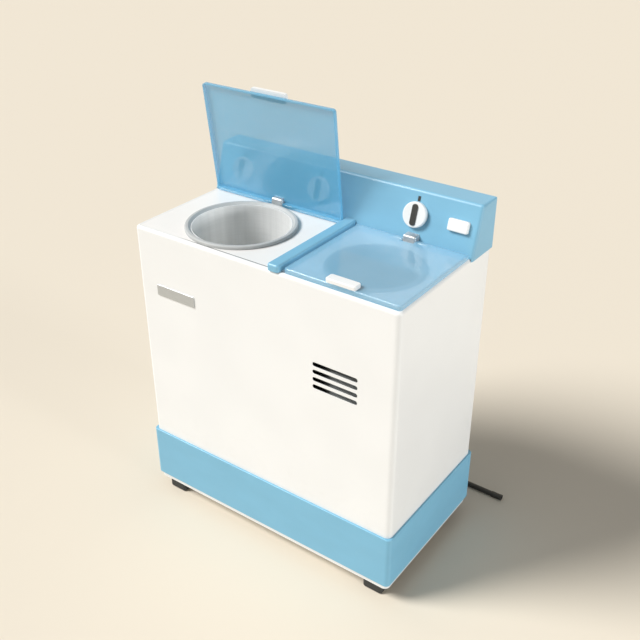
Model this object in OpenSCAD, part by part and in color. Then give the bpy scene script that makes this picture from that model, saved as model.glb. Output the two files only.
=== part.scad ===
// Twin tub washing machine: wash tub on the left, spin basket on the right.
// Millimetres, +Z up, front towards -Y, origin on the floor under the middle of the body.

/* [Cabinet] */
// Width across the skirt band
body_w = 756; // [748:2:790]
// Depth across the skirt band
body_d = 415; // [405:1:430]
// Height of the deck above the floor
deck_z = 803; // [790:1:840]
// Plan corner radius of the cabinet sheet
corner_r = 14; // [14:0.5:18]
// Plan corner radius of the skirt band
skirt_r = 12; // [8:0.5:16]
// Thickness of the cabinet sheet
sheet_t = 1.2; // [0.8:0.1:1.6]
// How far the skirt band stands proud of the cabinet sheet
skirt_proud = 5.5; // [5:0.25:7]
// Height of the skirt band
skirt_h = 148; // [120:1:155]
// Height of the base pan strip below the skirt band
strip_h = 15; // [10:1:18]
// Radius of the rolled top edge of the sheet
roll_r = 8; // [6:0.5:9]
// Distance from the cabinet face to the deck seam
seam_in = 9.5; // [9:0.25:10]
// Wall of the base pan moulding
pan_t = 3; // [2.5:0.25:4]
// Thickness of the back cover
back_t = 1.2; // [0.8:0.1:1.5]

/* [Feet] */
// Height of a foot below the base pan
foot_h = 38; // [30:1:45]
// Width of a foot
foot_w = 55; // [45:1:65]
// Depth of a foot
foot_d = 50; // [40:1:60]
// Distance from the side of the skirt to a foot
foot_side_in = 26; // [18:1:40]
// Distance from the front of the skirt to a foot
foot_front_in = 15.5; // [12:0.5:30]

/* [Front details] */
// Width of the bare badge plate
badge_w = 120; // [80:1:160]
// Height of the badge plate
badge_h = 28.5; // [20:0.5:40]
// Thickness of the badge plate
badge_t = 2.5; // [1.5:0.25:3]
// Distance from the left side of the skirt to the middle of the badge plate
badge_in = 126; // [110:1:180]
// Middle of the badge plate above the floor
badge_z = 647.5; // [600:0.5:700]
// Length of a louvre slot
slot_w = 120; // [90:1:150]
// Height of a louvre slot
slot_h = 11; // [8:0.5:13]
// Distance between louvre slots
slot_pitch = 19.6; // [17:0.2:24]
// Number of louvre slots
slot_count = 4; // [3:1:6]
// Distance from the right side of the skirt to the middle of the louvre
louvre_in = 163; // [130:1:200]
// Middle of the louvre above the floor
louvre_z = 576; // [500:1:620]

/* [Deck] */
// Thickness of the deck plate
deck_t = 3; // [2.5:0.25:4]
// Width of the divider rib between the lids
rib_w = 30; // [24:1:32]
// Height of the divider rib above the deck
rib_h = 17; // [12:0.5:20]
// Middle of the divider rib
rib_x = 50.5; // [48:0.5:52]

/* [Control panel] */
// Height of the panel above the deck
panel_h = 117; // [110:1:130]
// Lean of the panel face from upright
panel_lean = 17.5; // [14:0.5:18]
// Distance from the hinge axis back to the foot of the panel face
panel_gap = 6.5; // [6:0.25:8.5]
// Distance from the back of the skirt to the back of the panel
panel_back_in = 9; // [7:0.5:12]
// How far the panel ends stand out beyond the cabinet sheet
panel_over = 3.5; // [3:0.25:5]
// Wall of the panel moulding
panel_wall = 4; // [3:0.5:4.5]
// How far the panel ends hang down over the deck edge
panel_drop = 6; // [4:0.5:8]
// Radius of the panel's upper edges
panel_r = 8; // [7:0.5:9]
// Thickness of the panel's rear cover
cover_t = 2.5; // [2:0.25:3]
// Height of the knobs up the panel face
knob_s = 66; // [64:0.5:70]
// Radius of a knob
knob_r = 30; // [26:0.5:31]
// Thickness of a knob
knob_t = 10.7; // [9:0.1:11]
// Thickness of a knob's pointer bar
pointer_t = 3; // [2:0.25:3.5]
// Distance from the left end of the panel to the wash timer knob
wash_timer_in = 85; // [75:1:105]
// Place of the drain selector knob along the panel
selector_x = -52; // [-70:1:-45]
// Distance from the power button to the spin timer knob
spin_timer_gap = 110; // [98:1:123]
// Distance from the right end of the panel to the power button
button_end = 48; // [44:1:56]
// Width of the power button
button_w = 50.4; // [44:0.2:54]
// Height of the power button
button_h = 28.4; // [24:0.2:32]
// How far the button stands out at rest
button_out = 9; // [6:0.5:11]
// Travel of the button
button_travel = 3; // [2:0.25:4]

/* [Lids] */
// Distance from the front of the skirt to the front edge of the lids
lid_front_in = 12; // [10:0.5:14]
// Thickness of a lid at its rim
lid_t = 12; // [11:0.25:12.5]
// Thickness of a lid's sheet and walls
lid_wall = 3; // [2:0.25:3.25]
// Distance from the left side of the skirt to the wash lid
wash_lid_in = 22; // [21.5:0.5:40]
// Distance from the right side of the skirt to the spin lid
spin_lid_in = 10; // [8:1:20]
// Gap between the wash lid and the divider rib
wash_lid_gap = 1; // [0.5:0.25:3]
// Gap between the spin lid and the divider rib
spin_lid_gap = 8.5; // [6:0.5:10]
// How far the wash lid stands open
wash_lid_open = 83; // [70:1:85]
// Hinge axis behind the middle of the body
hinge_y = 89.5; // [89:0.25:90]
// Length of the wash lid's handle
wash_handle_w = 104; // [80:1:120]
// How far the wash lid's handle stands out over the front edge
wash_handle_out = 8; // [4:0.5:10]
// Length of the spin lid's handle
spin_handle_w = 76; // [60:1:90]
// Depth of a lid handle
handle_d = 25; // [20:1:30]
// Height of a lid handle above its lid
handle_h = 9.5; // [8:0.5:12]
// Width of a hinge block
block_w = 34; // [28:1:40]
// Height of a hinge block above the deck
block_h = 23; // [20:0.5:24]
// Radius of a hinge pin
pin_r = 2.5; // [2:0.25:3]
// Reach of a hinge pin into the lid on each side
pin_reach = 26; // [18:1:34]

/* [Wash tub] */
// How far the axis of the wash tub lies right of the middle of its lid
tub_dx = 2.25; // [0:0.25:5]
// Wall of the wash tub
tub_t = 1.5; // [1:0.1:2]
// Underside of the wash tub above the floor
tub_z = 355; // [350:1:362]
// Gap between the rubber ring and the closed wash lid's front wall or hinge block
ring_gap = 0.5; // [0.5:0.25:2]
// Width of the rubber ring round the wash tub mouth
ring_w = 14.2; // [13:0.2:17]
// Gap between the rubber ring and the closed wash lid's sheet
ring_top_gap = 0.6; // [0.5:0.1:2.5]
// Radius of the pulsator
pulsator_r = 80; // [70:1:90]
// Radius of the pulsator shaft
shaft_r = 8; // [6:0.5:9]

/* [Spinner] */
// How far the axis of the spin basket lies right of the middle of its lid
spin_dx = 1; // [0:0.5:3]
// How far the axis of the spin basket lies in front of the wash tub's
spin_dy = 4.5; // [2:0.5:6]
// Gap between the rim of the spin case and the front rim of the deck
case_gap = 4.2; // [4:0.1:8]
// Wall of the spin case
case_t = 2.5; // [2:0.25:3]
// Underside of the spin case above the floor
case_z = 350; // [346:1:354]
// Outer radius of the spin basket
basket_r = 102; // [96:0.5:104]
// Distance from the deck's underside down to the rim of the spin basket
basket_drop = 30; // [26:1:50]
// Radius of the spin opening
mouth_r = 103; // [98:0.5:104]
// Radius of the spin shaft
spin_shaft_r = 7; // [6:0.5:8]
// Radius of the brake drum
drum_r = 42; // [38:0.5:43]

/* [Drive] */
// Sideways distance from the tub axis to the wash motor axis
motor_dx = 95; // [90:1:100]
// Rearward distance from the tub axis to the wash motor axis
motor_dy = 120; // [115:1:125]
// Outer radius of the large pulley
pulley_r = 75; // [70:1:80]
// Outer radius of the motor pulley
small_pulley_r = 22; // [19:0.5:25]
// Distance from the bearing housing down to the middle plane of the belt
belt_drop = 22; // [20:1:26]
// Width of the belt
belt_w = 9.4; // [8:0.2:10]
// Thickness of the belt
belt_t = 6.2; // [5:0.2:6.6]

/* [Drain] */
// Middle of the drain valve along the body
valve_x = 35; // [33:1:38]
// Lift of the valve plunger
valve_lift = 12; // [8:1:14]
// Height of the outlet above the floor
outlet_z = 240; // [236:1:248]
// Place of the outlet along the back
outlet_x = -300; // [-302:1:-280]
// Distance from the side of the skirt to the cord gland
gland_in = 78; // [60:1:110]
// Radius of the drain hose
hose_r = 7; // [6:0.5:8]

/* [Fits] */
// Gap between separate moving bodies
clear = 0.3; // [0.25:0.05:0.5]
// Radial clearance of a running shaft or pin
run_fit = 0.05; // [0.02:0.01:0.1]

/* [Hidden] */
$fn = 72;

white = "#f6f6f2";
blue = "#86bfde";
clear_blue = "#8fc0dc";
grey = "#9aa19f";
steel = "#b9bcbc";
black = "#3f4140";

// Cabinet levels and outlines
cab_w = body_w - 2 * skirt_proud;
cab_d = body_d - 2 * skirt_proud;
skirt_z = foot_h + strip_h;
skirt_top = skirt_z + skirt_h;
skirt_lip_t = 2;
skirt_lip_in = 4;
shell_z = skirt_z + skirt_lip_t;
pan_floor = foot_h + pan_t;
pan_upstand = 32;
pan_rib_in = 40;
pan_rib_y = 60;
vent_w = 70;
vent_h = 5;
vent_pitch = 12;
ledge_drop = 8;
ledge_w = 4;
ledge_z = deck_z - ledge_drop;
seam_gap = 0.8;
rib_pegs = [-150, -40, 60];
rim_t = 2.5;
deck_under = deck_z - deck_t;
front_y = -cab_d / 2;
back_y = cab_d / 2;
window_side = 45;
window_z0 = skirt_top + 10;
window_z1 = deck_z - 43;
cover_side = 18;
cover_z0 = skirt_top + 1.5;
cover_z1 = deck_z - 25;
cover_screw_r = 2;
cover_screw_side = cab_w / 2 - (window_side + cover_side) / 2;
foot_x = body_w / 2 - foot_side_in - foot_w / 2;
foot_y = body_d / 2 - foot_front_in - foot_d / 2;
foot_edge = 8;
foot_stud_r = 5;
badge_x = badge_in - body_w / 2;
louvre_x = body_w / 2 - louvre_in;
louvre_margin = 11;

// Hinge line and lids
hinge_z = deck_z + clear + 0.1 + lid_t / 2;
lid_len = hinge_y + body_d / 2 - lid_front_in;
wash_lid_w = rib_x - rib_w / 2 - wash_lid_gap + body_w / 2 - wash_lid_in;
spin_lid_w = body_w / 2 - spin_lid_in - rib_x - rib_w / 2 - spin_lid_gap;
wash_lid_x = (wash_lid_w - body_w) / 2 + wash_lid_in;
spin_lid_x = (body_w - spin_lid_w) / 2 - spin_lid_in;
lid_edge = 4;
block_front = hinge_y - 8;
notch_len = block_h - (hinge_z - deck_z) + 1.2;
lid_cavity_back = lid_t / 2 + 0.8;

// Control panel frame: x along the panel, s up the face, out of the face
panel_w = cab_w + 2 * panel_over;
panel_y = hinge_y + panel_gap;
panel_end_t = panel_over - clear;
panel_back = body_d / 2 - panel_back_in;
wash_timer_x = wash_timer_in - panel_w / 2;
button_x = panel_w / 2 - button_end;
spin_timer_x = button_x - spin_timer_gap;
knob_gap = 0.8;
knob_top = knob_gap + knob_t;
stem_r = 4;
stem_len = 24;
timer_w = 52;
timer_d = 34;
selector_w = 44;
selector_d = 30;
switch_gap = 14;
switch_d = 18;
button_stem_r = 3;
button_in = 8;
button_edge = 4.5;
button_tail = 26;
inlet_x = 5;
inlet_z = deck_z + 57;
inlet_r = 8;
inlet_len = 28;
pocket_w = 60;
pocket_h = 48;
pocket_d = 33;

// Wash tub and drive: the ring fills the room between the lid's front wall and the hinge block
ring_front = hinge_y - lid_len + lid_wall;
ring_r = (block_front - ring_front) / 2 - ring_gap;
lip_t = 2;
lip_w = 2;
ring_h = clear + 0.1 + lid_t - lid_wall - ring_top_gap;
tub_x = wash_lid_x + tub_dx;
tub_y = (block_front + ring_front) / 2;
tub_r = ring_r - ring_w - clear - lip_w;
tub_top = deck_z + tub_t;
tub_bend = 20;
tub_flange_r = tub_r + 10.5;
tub_hole_r = tub_flange_r - 4;
ring_bevel = 5.5;
tub_drain_r = 8;
tub_drain_dx = 70;
overflow_z = 600;
overflow_r = 6;
fill_z = deck_z - 25;
fill_dy = 22;
fill_y = back_y - 60;
fill_r = 9;
fill_bore = 7;
bearing_r = 26;
bearing_boss_r = 12;
bearing_h = 63;
bearing_flange_r = bearing_r + 20;
bearing_z = tub_z - bearing_h;
belt_z = bearing_z - belt_drop;
hub_h = 20;
shaft_foot = 18;
pulsator_z = tub_z + tub_t + 4;
groove_d = 7;
groove_w = belt_w + 2 * clear;
pulley_w = 18;
motor_r = 55;
motor_drop = 125;
motor_z = belt_z - motor_drop;
motor_h = 95;
motor_shaft_r = 6;
stand_t = 4;
motor_x = tub_x + motor_dx;
motor_y = tub_y + motor_dy;
belt_span = sqrt(motor_dx * motor_dx + motor_dy * motor_dy);
belt_turn = atan2(motor_dy, motor_dx);

// Spinner
spin_x = spin_lid_x + spin_dx;
spin_y = tub_y - spin_dy;
case_bend = 15;
case_flange_w = 4.5;
case_flange_r = spin_y + cab_d / 2 - seam_in - seam_gap - rim_t - case_gap;
case_r = case_flange_r - case_flange_w - case_t;
seal_hole_r = 22;
basket_z = case_z + 22;
basket_h = deck_under - basket_drop - basket_z;
basket_t = 1.5;
basket_bend = 18;
hole_pitch = 48;
hole_first = 50;
hole_last = 60;
spin_flange_t = 5;
spin_ring_h = 5;
spin_motor_r = 58;
spin_motor_z = 100;
spin_motor_h = 105;
spin_flange_r = 82;
mount_ring_r = 72;
mount_r = 10;
mount_boss_h = 12;
mount_boss_z = foot_h + mount_boss_h;
drum_z = 226;
drum_h = 26;
drum_wall = 5;
brake_arm = 56;
brake_back = 45;
brake_pin_r = 4;
brake_gap = 2.3;
lever_h = 18;

// Drain
valve_y = tub_y;
valve_r = 28;
valve_wall = 3;
valve_z = outlet_z + 40;
valve_h = 65;
valve_port_z = valve_z + 35;
valve_seat_r = 9;
plunger_r = 13;
rod_r = 3;
plunger_rise = 26;
pipe_r = 10;
pipe_bore = 8;
outlet_r = 12;
outlet_bore = 9;
spigot_r = 9;
spigot_bore = 4.5;
spigot_face = body_d / 2 - clear;
spin_drain_dx = 90;
overflow_drop_dx = 17;
outlet_y = back_y - 30;
gland_x = body_w / 2 - gland_in;

// Wires from the selector to the valve and from the spin lid to the brake
wire_r = 1.5;
wire_steps = 4;
wire_sides = 8;
wire_y = panel_y + 36;
wire_drop = 170;
wire_sweep = 60;
selector_low = knob_s - selector_w / 2;
wire_top = deck_z + selector_low * cos(panel_lean) - clear
    - (wire_y + wire_r - panel_y - selector_low * sin(panel_lean)) * tan(panel_lean);

// Route of the drain hose: out of the back, down to the floor and along behind the body
hose_end_r = 8;
hose_end_len = 30;
hose_points = [
    [-300, 207.5, 240], [-300, 222, 240], [-300, 238, 240], [-300, 268, 215], [-299, 293, 155], [-295, 310, 85],
    [-282, 320, 36], [-250, 325, 12], [-205, 325, 7.6], [-120, 318, 7.6], [0, 307, 7.6],
    [120, 299, 7.6], [230, 296, 7.6], [330, 296, 8.1], [410, 296, 8.1]
];
hose_steps = 3;
hose_sides = 10;

// Shape helpers

// Sweeps a profile round a rounded rectangle: profile x runs outward from the corner centres
module sweep_round(w, d, r) {
    for (side = [0:3]) rotate([0, 0, 90 * side]) {
        along = (side % 2 == 0 ? w : d) / 2 - r;
        across = (side % 2 == 0 ? d : w) / 2 - r;
        translate([along, 0, 0]) rotate([90, 0, 0]) linear_extrude(2 * across, center = true) children();
        translate([along, across, 0]) rotate_extrude(angle = 90) children();
    }
}

// What a rounding of radius r removes from a square corner
module corner_cut(r) {
    difference() {
        square(r + 1);
        circle(r);
    }
}

// Upright rectangle from the axis out to r, with its outer corners rounded
module edge_profile(r, h, rt, rb) {
    difference() {
        square([r, h]);
        if (rt > 0) translate([r - rt, h - rt]) corner_cut(rt);
        if (rb > 0) translate([r - rb, rb]) mirror([0, 1]) corner_cut(rb);
    }
}

// Block with round plan corners r and rounded upper and lower edges
module soft_box(w, d, h, r, rt = 0, rb = 0) {
    translate([-(w / 2 - r), -(d / 2 - r), 0]) cube([w - 2 * r, d - 2 * r, h]);
    sweep_round(w, d, r) edge_profile(r, h, rt, rb);
}

// Flat outline with round corners
module round_rect(w, d, r) {
    square([w - 2 * r, d], center = true);
    square([w, d - 2 * r], center = true);
    for (sx = [-1, 1], sy = [-1, 1]) translate([sx * (w / 2 - r), sy * (d / 2 - r)]) circle(r);
}

// Slot with round ends, w long and h high
module slot(w, h) {
    square([w - h, h], center = true);
    for (s = [-1, 1]) translate([s * (w - h) / 2, 0]) circle(h / 2);
}

// Section of a round-bottomed cup: inner radius r, floor underside z0, rim z1
module cup_section(r, z0, z1, t, bend) {
    translate([0, z0]) square([r - bend, t]);
    translate([r, z0 + t + bend]) square([t, z1 - z0 - t - bend]);
    translate([r - bend, z0 + t + bend]) intersection() {
        difference() {
            circle(bend + t);
            circle(bend);
        }
        translate([0, -bend - t]) square(bend + t);
    }
}

// Round bar from a to b
module rod(a, b, r) {
    v = b - a;
    translate(a) rotate([0, acos(v[2] / norm(v)), atan2(v[1], v[0])]) cylinder(r = r, h = norm(v));
}

// Round bar along a list of points, with ball corners
module bar_path(pts, r) {
    for (i = [0:len(pts) - 2]) rod(pts[i], pts[i + 1], r);
    if (len(pts) > 2) for (i = [1:len(pts) - 2]) translate(pts[i]) sphere(r);
}

// The same list with both ends moved outward by e
function stretched(pts, e) = [
    for (i = [0:len(pts) - 1])
        i == 0 ? pts[0] + e * (pts[0] - pts[1]) / norm(pts[0] - pts[1])
        : i == len(pts) - 1 ? pts[i] + e * (pts[i] - pts[i - 1]) / norm(pts[i] - pts[i - 1])
        : pts[i]
];

// Hollow pipe along a list of points
module pipe(pts, ro, ri) {
    difference() {
        bar_path(pts, ro);
        bar_path(stretched(pts, 1), ri);
    }
}

// Puts children on the panel face: x along it, y up it, z out of it
module on_panel(x, s) {
    translate([x, panel_y, deck_z]) rotate([90 - panel_lean, 0, 0]) translate([0, s, 0]) children();
}

// Everything behind the plane of the panel face, held off by gap
module behind_panel(gap) {
    translate([0, panel_y, deck_z]) rotate([-panel_lean, 0, 0]) translate([-body_w, -gap, -60])
        cube([2 * body_w, body_d, 3 * panel_h]);
}

// Puts a part drawn in a closed lid's own frame at its hinge, opened by angle
module at_hinge(x, angle) {
    translate([x, hinge_y, hinge_z]) rotate([-angle, 0, 0]) children();
}

// Base, feet and skirt

module base_pan() {
    r_up = corner_r - skirt_lip_in - clear;
    color(white) difference() {
        union() {
            sweep_round(cab_w, cab_d, corner_r) {
                translate([r_up - pan_t, foot_h]) square([corner_r - r_up + pan_t, strip_h]);
                translate([r_up - pan_t, foot_h]) square([pan_t, strip_h + pan_upstand]);
            }
            translate([0, 0, foot_h]) linear_extrude(pan_t)
                round_rect(cab_w - 2 * corner_r + 2 * r_up, cab_d - 2 * corner_r + 2 * r_up, r_up);
            for (a = [90, 210, 330]) translate([spin_x, spin_y, foot_h]) rotate([0, 0, a])
                translate([mount_ring_r, 0, 0]) cylinder(r = mount_r + 2, h = mount_boss_h);
            for (y = [-1, 1]) translate([-cab_w / 2 + pan_rib_in, y * pan_rib_y - pan_t, foot_h])
                cube([cab_w - 2 * pan_rib_in, 2 * pan_t, strip_h - pan_t]);
        }
        for (sx = [-1, 1], sy = [-1, 1]) translate([sx * foot_x, sy * foot_y, foot_h - 1])
            cylinder(r = foot_stud_r + run_fit, h = pan_t + 2);
        for (x = [spin_x, motor_x], i = [-2:2]) translate([x, i * vent_pitch, foot_h - 1])
            linear_extrude(pan_t + 2) slot(vent_w, vent_h);
    }
}

module foot(sx, sy) {
    color(black) translate([sx * foot_x, sy * foot_y, 0]) {
        soft_box(foot_w, foot_d, foot_h, foot_edge, 0, foot_edge - 2);
        cylinder(r = foot_stud_r, h = foot_h + pan_t + 4);
    }
}

module foot_front_left() {
    foot(-1, -1);
}

module foot_front_right() {
    foot(1, -1);
}

module foot_rear_left() {
    foot(-1, 1);
}

module foot_rear_right() {
    foot(1, 1);
}

module skirt_band() {
    color(blue) difference() {
        translate([0, 0, skirt_z]) soft_box(body_w, body_d, skirt_h, skirt_r, 2, 1);
        translate([0, 0, skirt_z + skirt_lip_t]) linear_extrude(skirt_h)
            round_rect(cab_w + 2 * clear, cab_d + 2 * clear, corner_r + clear);
        translate([0, 0, skirt_z - 1]) linear_extrude(skirt_h)
            round_rect(cab_w - 2 * skirt_lip_in, cab_d - 2 * skirt_lip_in, corner_r - skirt_lip_in);
    }
}

// Cabinet sheet with its rolled top edge and the ledge that carries the deck

module shell_section() {
    r = corner_r;
    translate([r - sheet_t, shell_z]) square([sheet_t, deck_z - roll_r - shell_z]);
    translate([r - roll_r, deck_z - roll_r]) intersection() {
        difference() {
            circle(roll_r);
            circle(roll_r - sheet_t);
        }
        square(roll_r);
    }
    translate([r - seam_in, deck_z - sheet_t]) square([seam_in - roll_r, sheet_t]);
    translate([r - seam_in, ledge_z - sheet_t]) square([sheet_t, ledge_drop + sheet_t]);
    translate([r - seam_in - ledge_w, ledge_z - sheet_t]) square([ledge_w + sheet_t, sheet_t]);
}

module louvre_slots(w, h, depth) {
    for (i = [0:slot_count - 1])
        translate([louvre_x, front_y - 1, louvre_z + (i - (slot_count - 1) / 2) * slot_pitch])
            rotate([-90, 0, 0]) linear_extrude(depth) slot(w, h);
}

module cabinet_shell() {
    color(white) difference() {
        sweep_round(cab_w, cab_d, corner_r) shell_section();
        louvre_slots(slot_w, slot_h, 4);
        translate([-cab_w / 2 + window_side, back_y - 6, window_z0])
            cube([cab_w - 2 * window_side, 12, window_z1 - window_z0]);
        cover_screw_places() cylinder(r = cover_screw_r, h = 30, center = true);
    }
}

module louvre_insert() {
    w = slot_w + 2 * louvre_margin;
    h = slot_pitch * slot_count + louvre_margin;
    y = front_y + sheet_t;
    color(black) {
        difference() {
            translate([louvre_x - w / 2, y, louvre_z - h / 2]) cube([w, 2, h]);
            louvre_slots(slot_w + 2, slot_h + 2, sheet_t + 5);
        }
        for (s = [-1, 1]) translate([louvre_x + s * (w / 2 - 2) - 2, y + 2, louvre_z - h / 2]) cube([4, 12, h]);
        for (i = [0:slot_count - 1])
            translate([louvre_x - w / 2 + 2, y + 8, louvre_z + (i - (slot_count - 1) / 2) * slot_pitch])
                rotate([-40, 0, 0]) translate([0, -7, -0.75]) cube([w - 4, 14, 1.5]);
    }
}

module badge_plate() {
    color("#c1c4c0") translate([badge_x, front_y, badge_z]) rotate([90, 0, 0])
        soft_box(badge_w, badge_h, badge_t, 2, 1);
}

// Back cover

module cover_screw_places() {
    rows = 4;
    for (sx = [-1, 1], i = [0:rows - 1])
        translate([sx * cover_screw_side, back_y, cover_z0 + 20 + i * (cover_z1 - cover_z0 - 40) / (rows - 1)])
            rotate([-90, 0, 0]) children();
}

module back_cover() {
    color("#e4e5e1") difference() {
        translate([0, back_y, (cover_z0 + cover_z1) / 2]) rotate([-90, 0, 0]) linear_extrude(back_t)
            round_rect(cab_w - 2 * cover_side, cover_z1 - cover_z0, 8);
        cover_screw_places() cylinder(r = cover_screw_r, h = 10, center = true);
        for (x = [-cab_w / 4, cab_w / 4], i = [0:5]) translate([x, back_y - 1, cover_z1 - 90 - i * 14])
            rotate([-90, 0, 0]) linear_extrude(back_t + 2) slot(110, 5);
        translate([outlet_x, back_y - 1, outlet_z]) rotate([-90, 0, 0])
            cylinder(r = spigot_r + clear, h = back_t + 2);
        translate([gland_x, back_y - 1, outlet_z]) rotate([-90, 0, 0])
            cylinder(r = 6 + run_fit, h = back_t + 2);
    }
}

module back_cover_screws() {
    color(steel) cover_screw_places() {
        translate([0, 0, -8]) cylinder(r = cover_screw_r - run_fit, h = 8 + back_t);
        translate([0, 0, back_t]) difference() {
            cylinder(r = 4, h = 2.2);
            for (a = [0, 90]) rotate([0, 0, a]) translate([-2.5, -0.4, 1]) cube([5, 0.8, 2]);
        }
    }
}

module cord_gland() {
    color(black) translate([gland_x, back_y, outlet_z]) rotate([-90, 0, 0]) difference() {
        union() {
            translate([0, 0, back_t]) cylinder(r = 9, h = 3.5);
            translate([0, 0, -6]) cylinder(r = 6, h = 6 + back_t);
            translate([0, 0, -9]) cylinder(r = 8, h = 3);
        }
        translate([0, 0, -10]) cylinder(r = 3.5, h = 20);
    }
}

// Deck and rib

module top_deck() {
    w = cab_w - 2 * (seam_in + seam_gap);
    d = cab_d - 2 * (seam_in + seam_gap);
    r = corner_r - seam_in - seam_gap;
    color(white) difference() {
        translate([0, 0, ledge_z]) linear_extrude(ledge_drop) round_rect(w, d, r);
        translate([0, 0, ledge_z - 1]) linear_extrude(ledge_drop - deck_t + 1)
            round_rect(w - 2 * rim_t, d - 2 * rim_t, r - rim_t);
        translate([tub_x, tub_y, deck_under - 1]) cylinder(r = tub_hole_r, h = deck_t + 2);
        translate([spin_x, spin_y, deck_under - 1]) cylinder(r = mouth_r + 5.5, h = deck_t + 2);
        for (x = [wash_lid_x, spin_lid_x], s = [-1, 1])
            translate([x + s * 10, hinge_y, deck_under - 1]) cylinder(r = 2.5, h = deck_t + 2);
        for (y = rib_pegs) translate([rib_x, y, deck_under - 1]) cylinder(r = 2.5, h = deck_t + 2);
        translate([inlet_x, fill_y, deck_under - 1]) cylinder(r = fill_r + 2, h = deck_t + 2);
        translate([selector_x, wire_y, deck_under - 1]) cylinder(r = 4, h = deck_t + 2);
        translate([spin_lid_x, hinge_y, deck_under - 1]) cylinder(r = 2.2, h = deck_t + 2);
        for (x = [-200, 130, panel_w / 2 - 76]) translate([x, panel_back - 48.5, deck_under - 1])
            linear_extrude(deck_t + 2) slot(50, 18);
    }
}

module divider_rib() {
    front = -body_d / 2 + 3;
    back = panel_y + rib_h;
    color(blue) {
        difference() {
            translate([rib_x, (front + back) / 2, deck_z]) soft_box(rib_w, back - front, rib_h, 6, 5);
            behind_panel(clear);
        }
        for (y = rib_pegs) translate([rib_x, y, deck_under - 4]) cylinder(r = 2.4, h = deck_t + 5);
    }
}

// Control panel

module panel_hood() {
    r = panel_r;
    rear_r = 3;
    front_up = panel_y + (panel_h - r) * tan(panel_lean) + r / cos(panel_lean);
    front_low = panel_y - panel_drop * tan(panel_lean) + r / cos(panel_lean);
    x = panel_w / 2;
    hull() {
        for (s = [-1, 1]) {
            translate([s * (x - r), front_up, deck_z + panel_h - r]) sphere(r, $fn = 32);
            translate([s * (x - r), front_low, deck_z - panel_drop]) cylinder(r = r, h = 0.1, $fn = 32);
            translate([s * (x - rear_r), panel_back - rear_r, deck_z + panel_h - rear_r]) sphere(rear_r, $fn = 32);
            translate([s * (x - rear_r), panel_back - rear_r, deck_z - panel_drop])
                cylinder(r = rear_r, h = 0.1, $fn = 32);
        }
    }
}

// Hollow of the hood, open at the back and below
module panel_cavity() {
    t = panel_wall;
    run = t / cos(panel_lean);
    top = panel_h - t;
    inside = panel_w - 2 * panel_end_t;
    translate([-inside / 2, 0, deck_z]) rotate([90, 0, 90]) linear_extrude(inside) polygon([
        [panel_y + run - 2 * tan(panel_lean), -2], [panel_y + run + top * tan(panel_lean), top],
        [panel_back + 20, top], [panel_back + 20, -2]
    ]);
}

module control_panel() {
    color(blue) difference() {
        panel_hood();
        panel_cavity();
        translate([-panel_w / 2 + panel_end_t, 0, deck_z - 2 * panel_drop])
            cube([panel_w - 2 * panel_end_t, body_d, 2 * panel_drop]);
        for (x = [wash_timer_x, selector_x, spin_timer_x]) on_panel(x, knob_s)
            translate([0, 0, -panel_wall - 3]) cylinder(r = stem_r + 2.5, h = panel_wall + 6);
        on_panel(button_x, knob_s) translate([0, 0, -panel_wall - 3]) linear_extrude(panel_wall + 6)
            round_rect(button_w + 2 * clear, button_h + 2 * clear, button_edge + clear);
    }
}

module panel_rear_cover() {
    w = panel_w - 2 * panel_end_t - 2 * clear;
    h = panel_h - panel_wall - clear;
    y = panel_back - cover_t;
    color("#dfe3e4") {
        difference() {
            union() {
                translate([-w / 2, y, deck_z]) cube([w, cover_t, h]);
                translate([inlet_x - pocket_w / 2, panel_back - pocket_d, inlet_z - pocket_h / 2])
                    cube([pocket_w, pocket_d, pocket_h]);
            }
            translate([inlet_x - pocket_w / 2 + 2, panel_back - pocket_d + 3, inlet_z - pocket_h / 2 + 2])
                cube([pocket_w - 4, pocket_d, pocket_h - 4]);
            translate([inlet_x, panel_back - pocket_d - 1, inlet_z]) rotate([-90, 0, 0])
                cylinder(r = inlet_r - 2, h = pocket_d);
            for (x = [-240, 240], i = [0:3]) translate([x, y - 1, deck_z + 40 + i * 12]) rotate([-90, 0, 0])
                linear_extrude(cover_t + 2) slot(90, 4);
        }
        translate([inlet_x, panel_back - pocket_d + 3, inlet_z]) rotate([-90, 0, 0]) difference() {
            cylinder(r = inlet_r, h = inlet_len);
            translate([0, 0, -1]) cylinder(r = inlet_r - 2, h = inlet_len + 2);
        }
    }
}

module panel_marks() {
    color(black) for (x = [wash_timer_x, selector_x, spin_timer_x])
        on_panel(x, knob_s + knob_r + 7) linear_extrude(0.8) square([6.5, 11.5], center = true);
}

// Body of a timer or selector behind the panel face
module switch_body(w, d) {
    difference() {
        translate([0, 0, -panel_wall - d]) soft_box(w, w, d, 3);
        translate([0, 0, -stem_len - 2]) cylinder(r = stem_r + run_fit, h = stem_len + 3);
    }
}

module timers() {
    color("#d8d3c4") for (x = [wash_timer_x, spin_timer_x]) on_panel(x, knob_s) switch_body(timer_w, timer_d);
}

module drain_selector() {
    color("#d8d3c4") on_panel(selector_x, knob_s) switch_body(selector_w, selector_d);
}

module button_switch() {
    w = button_w + 12;
    color("#d8d3c4") on_panel(button_x, knob_s) difference() {
        union() {
            translate([-w / 2, -button_h / 2, -switch_gap - switch_d]) cube([w, button_h, switch_d]);
            for (s = [-1, 1]) translate([s * (w / 2 - 2) - 2, -button_h / 2, -switch_gap])
                cube([4, button_h, switch_gap - panel_wall]);
        }
        translate([0, 0, -button_tail - button_travel - 2])
            cylinder(r = button_stem_r + run_fit, h = button_tail);
    }
}

module knob(x) {
    color(white) on_panel(x, knob_s) {
        translate([0, 0, knob_gap]) rotate_extrude() edge_profile(knob_r, knob_t, 3, 0.5);
        translate([0, 0, -stem_len]) cylinder(r = stem_r, h = stem_len + knob_gap + 1);
    }
}

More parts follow.
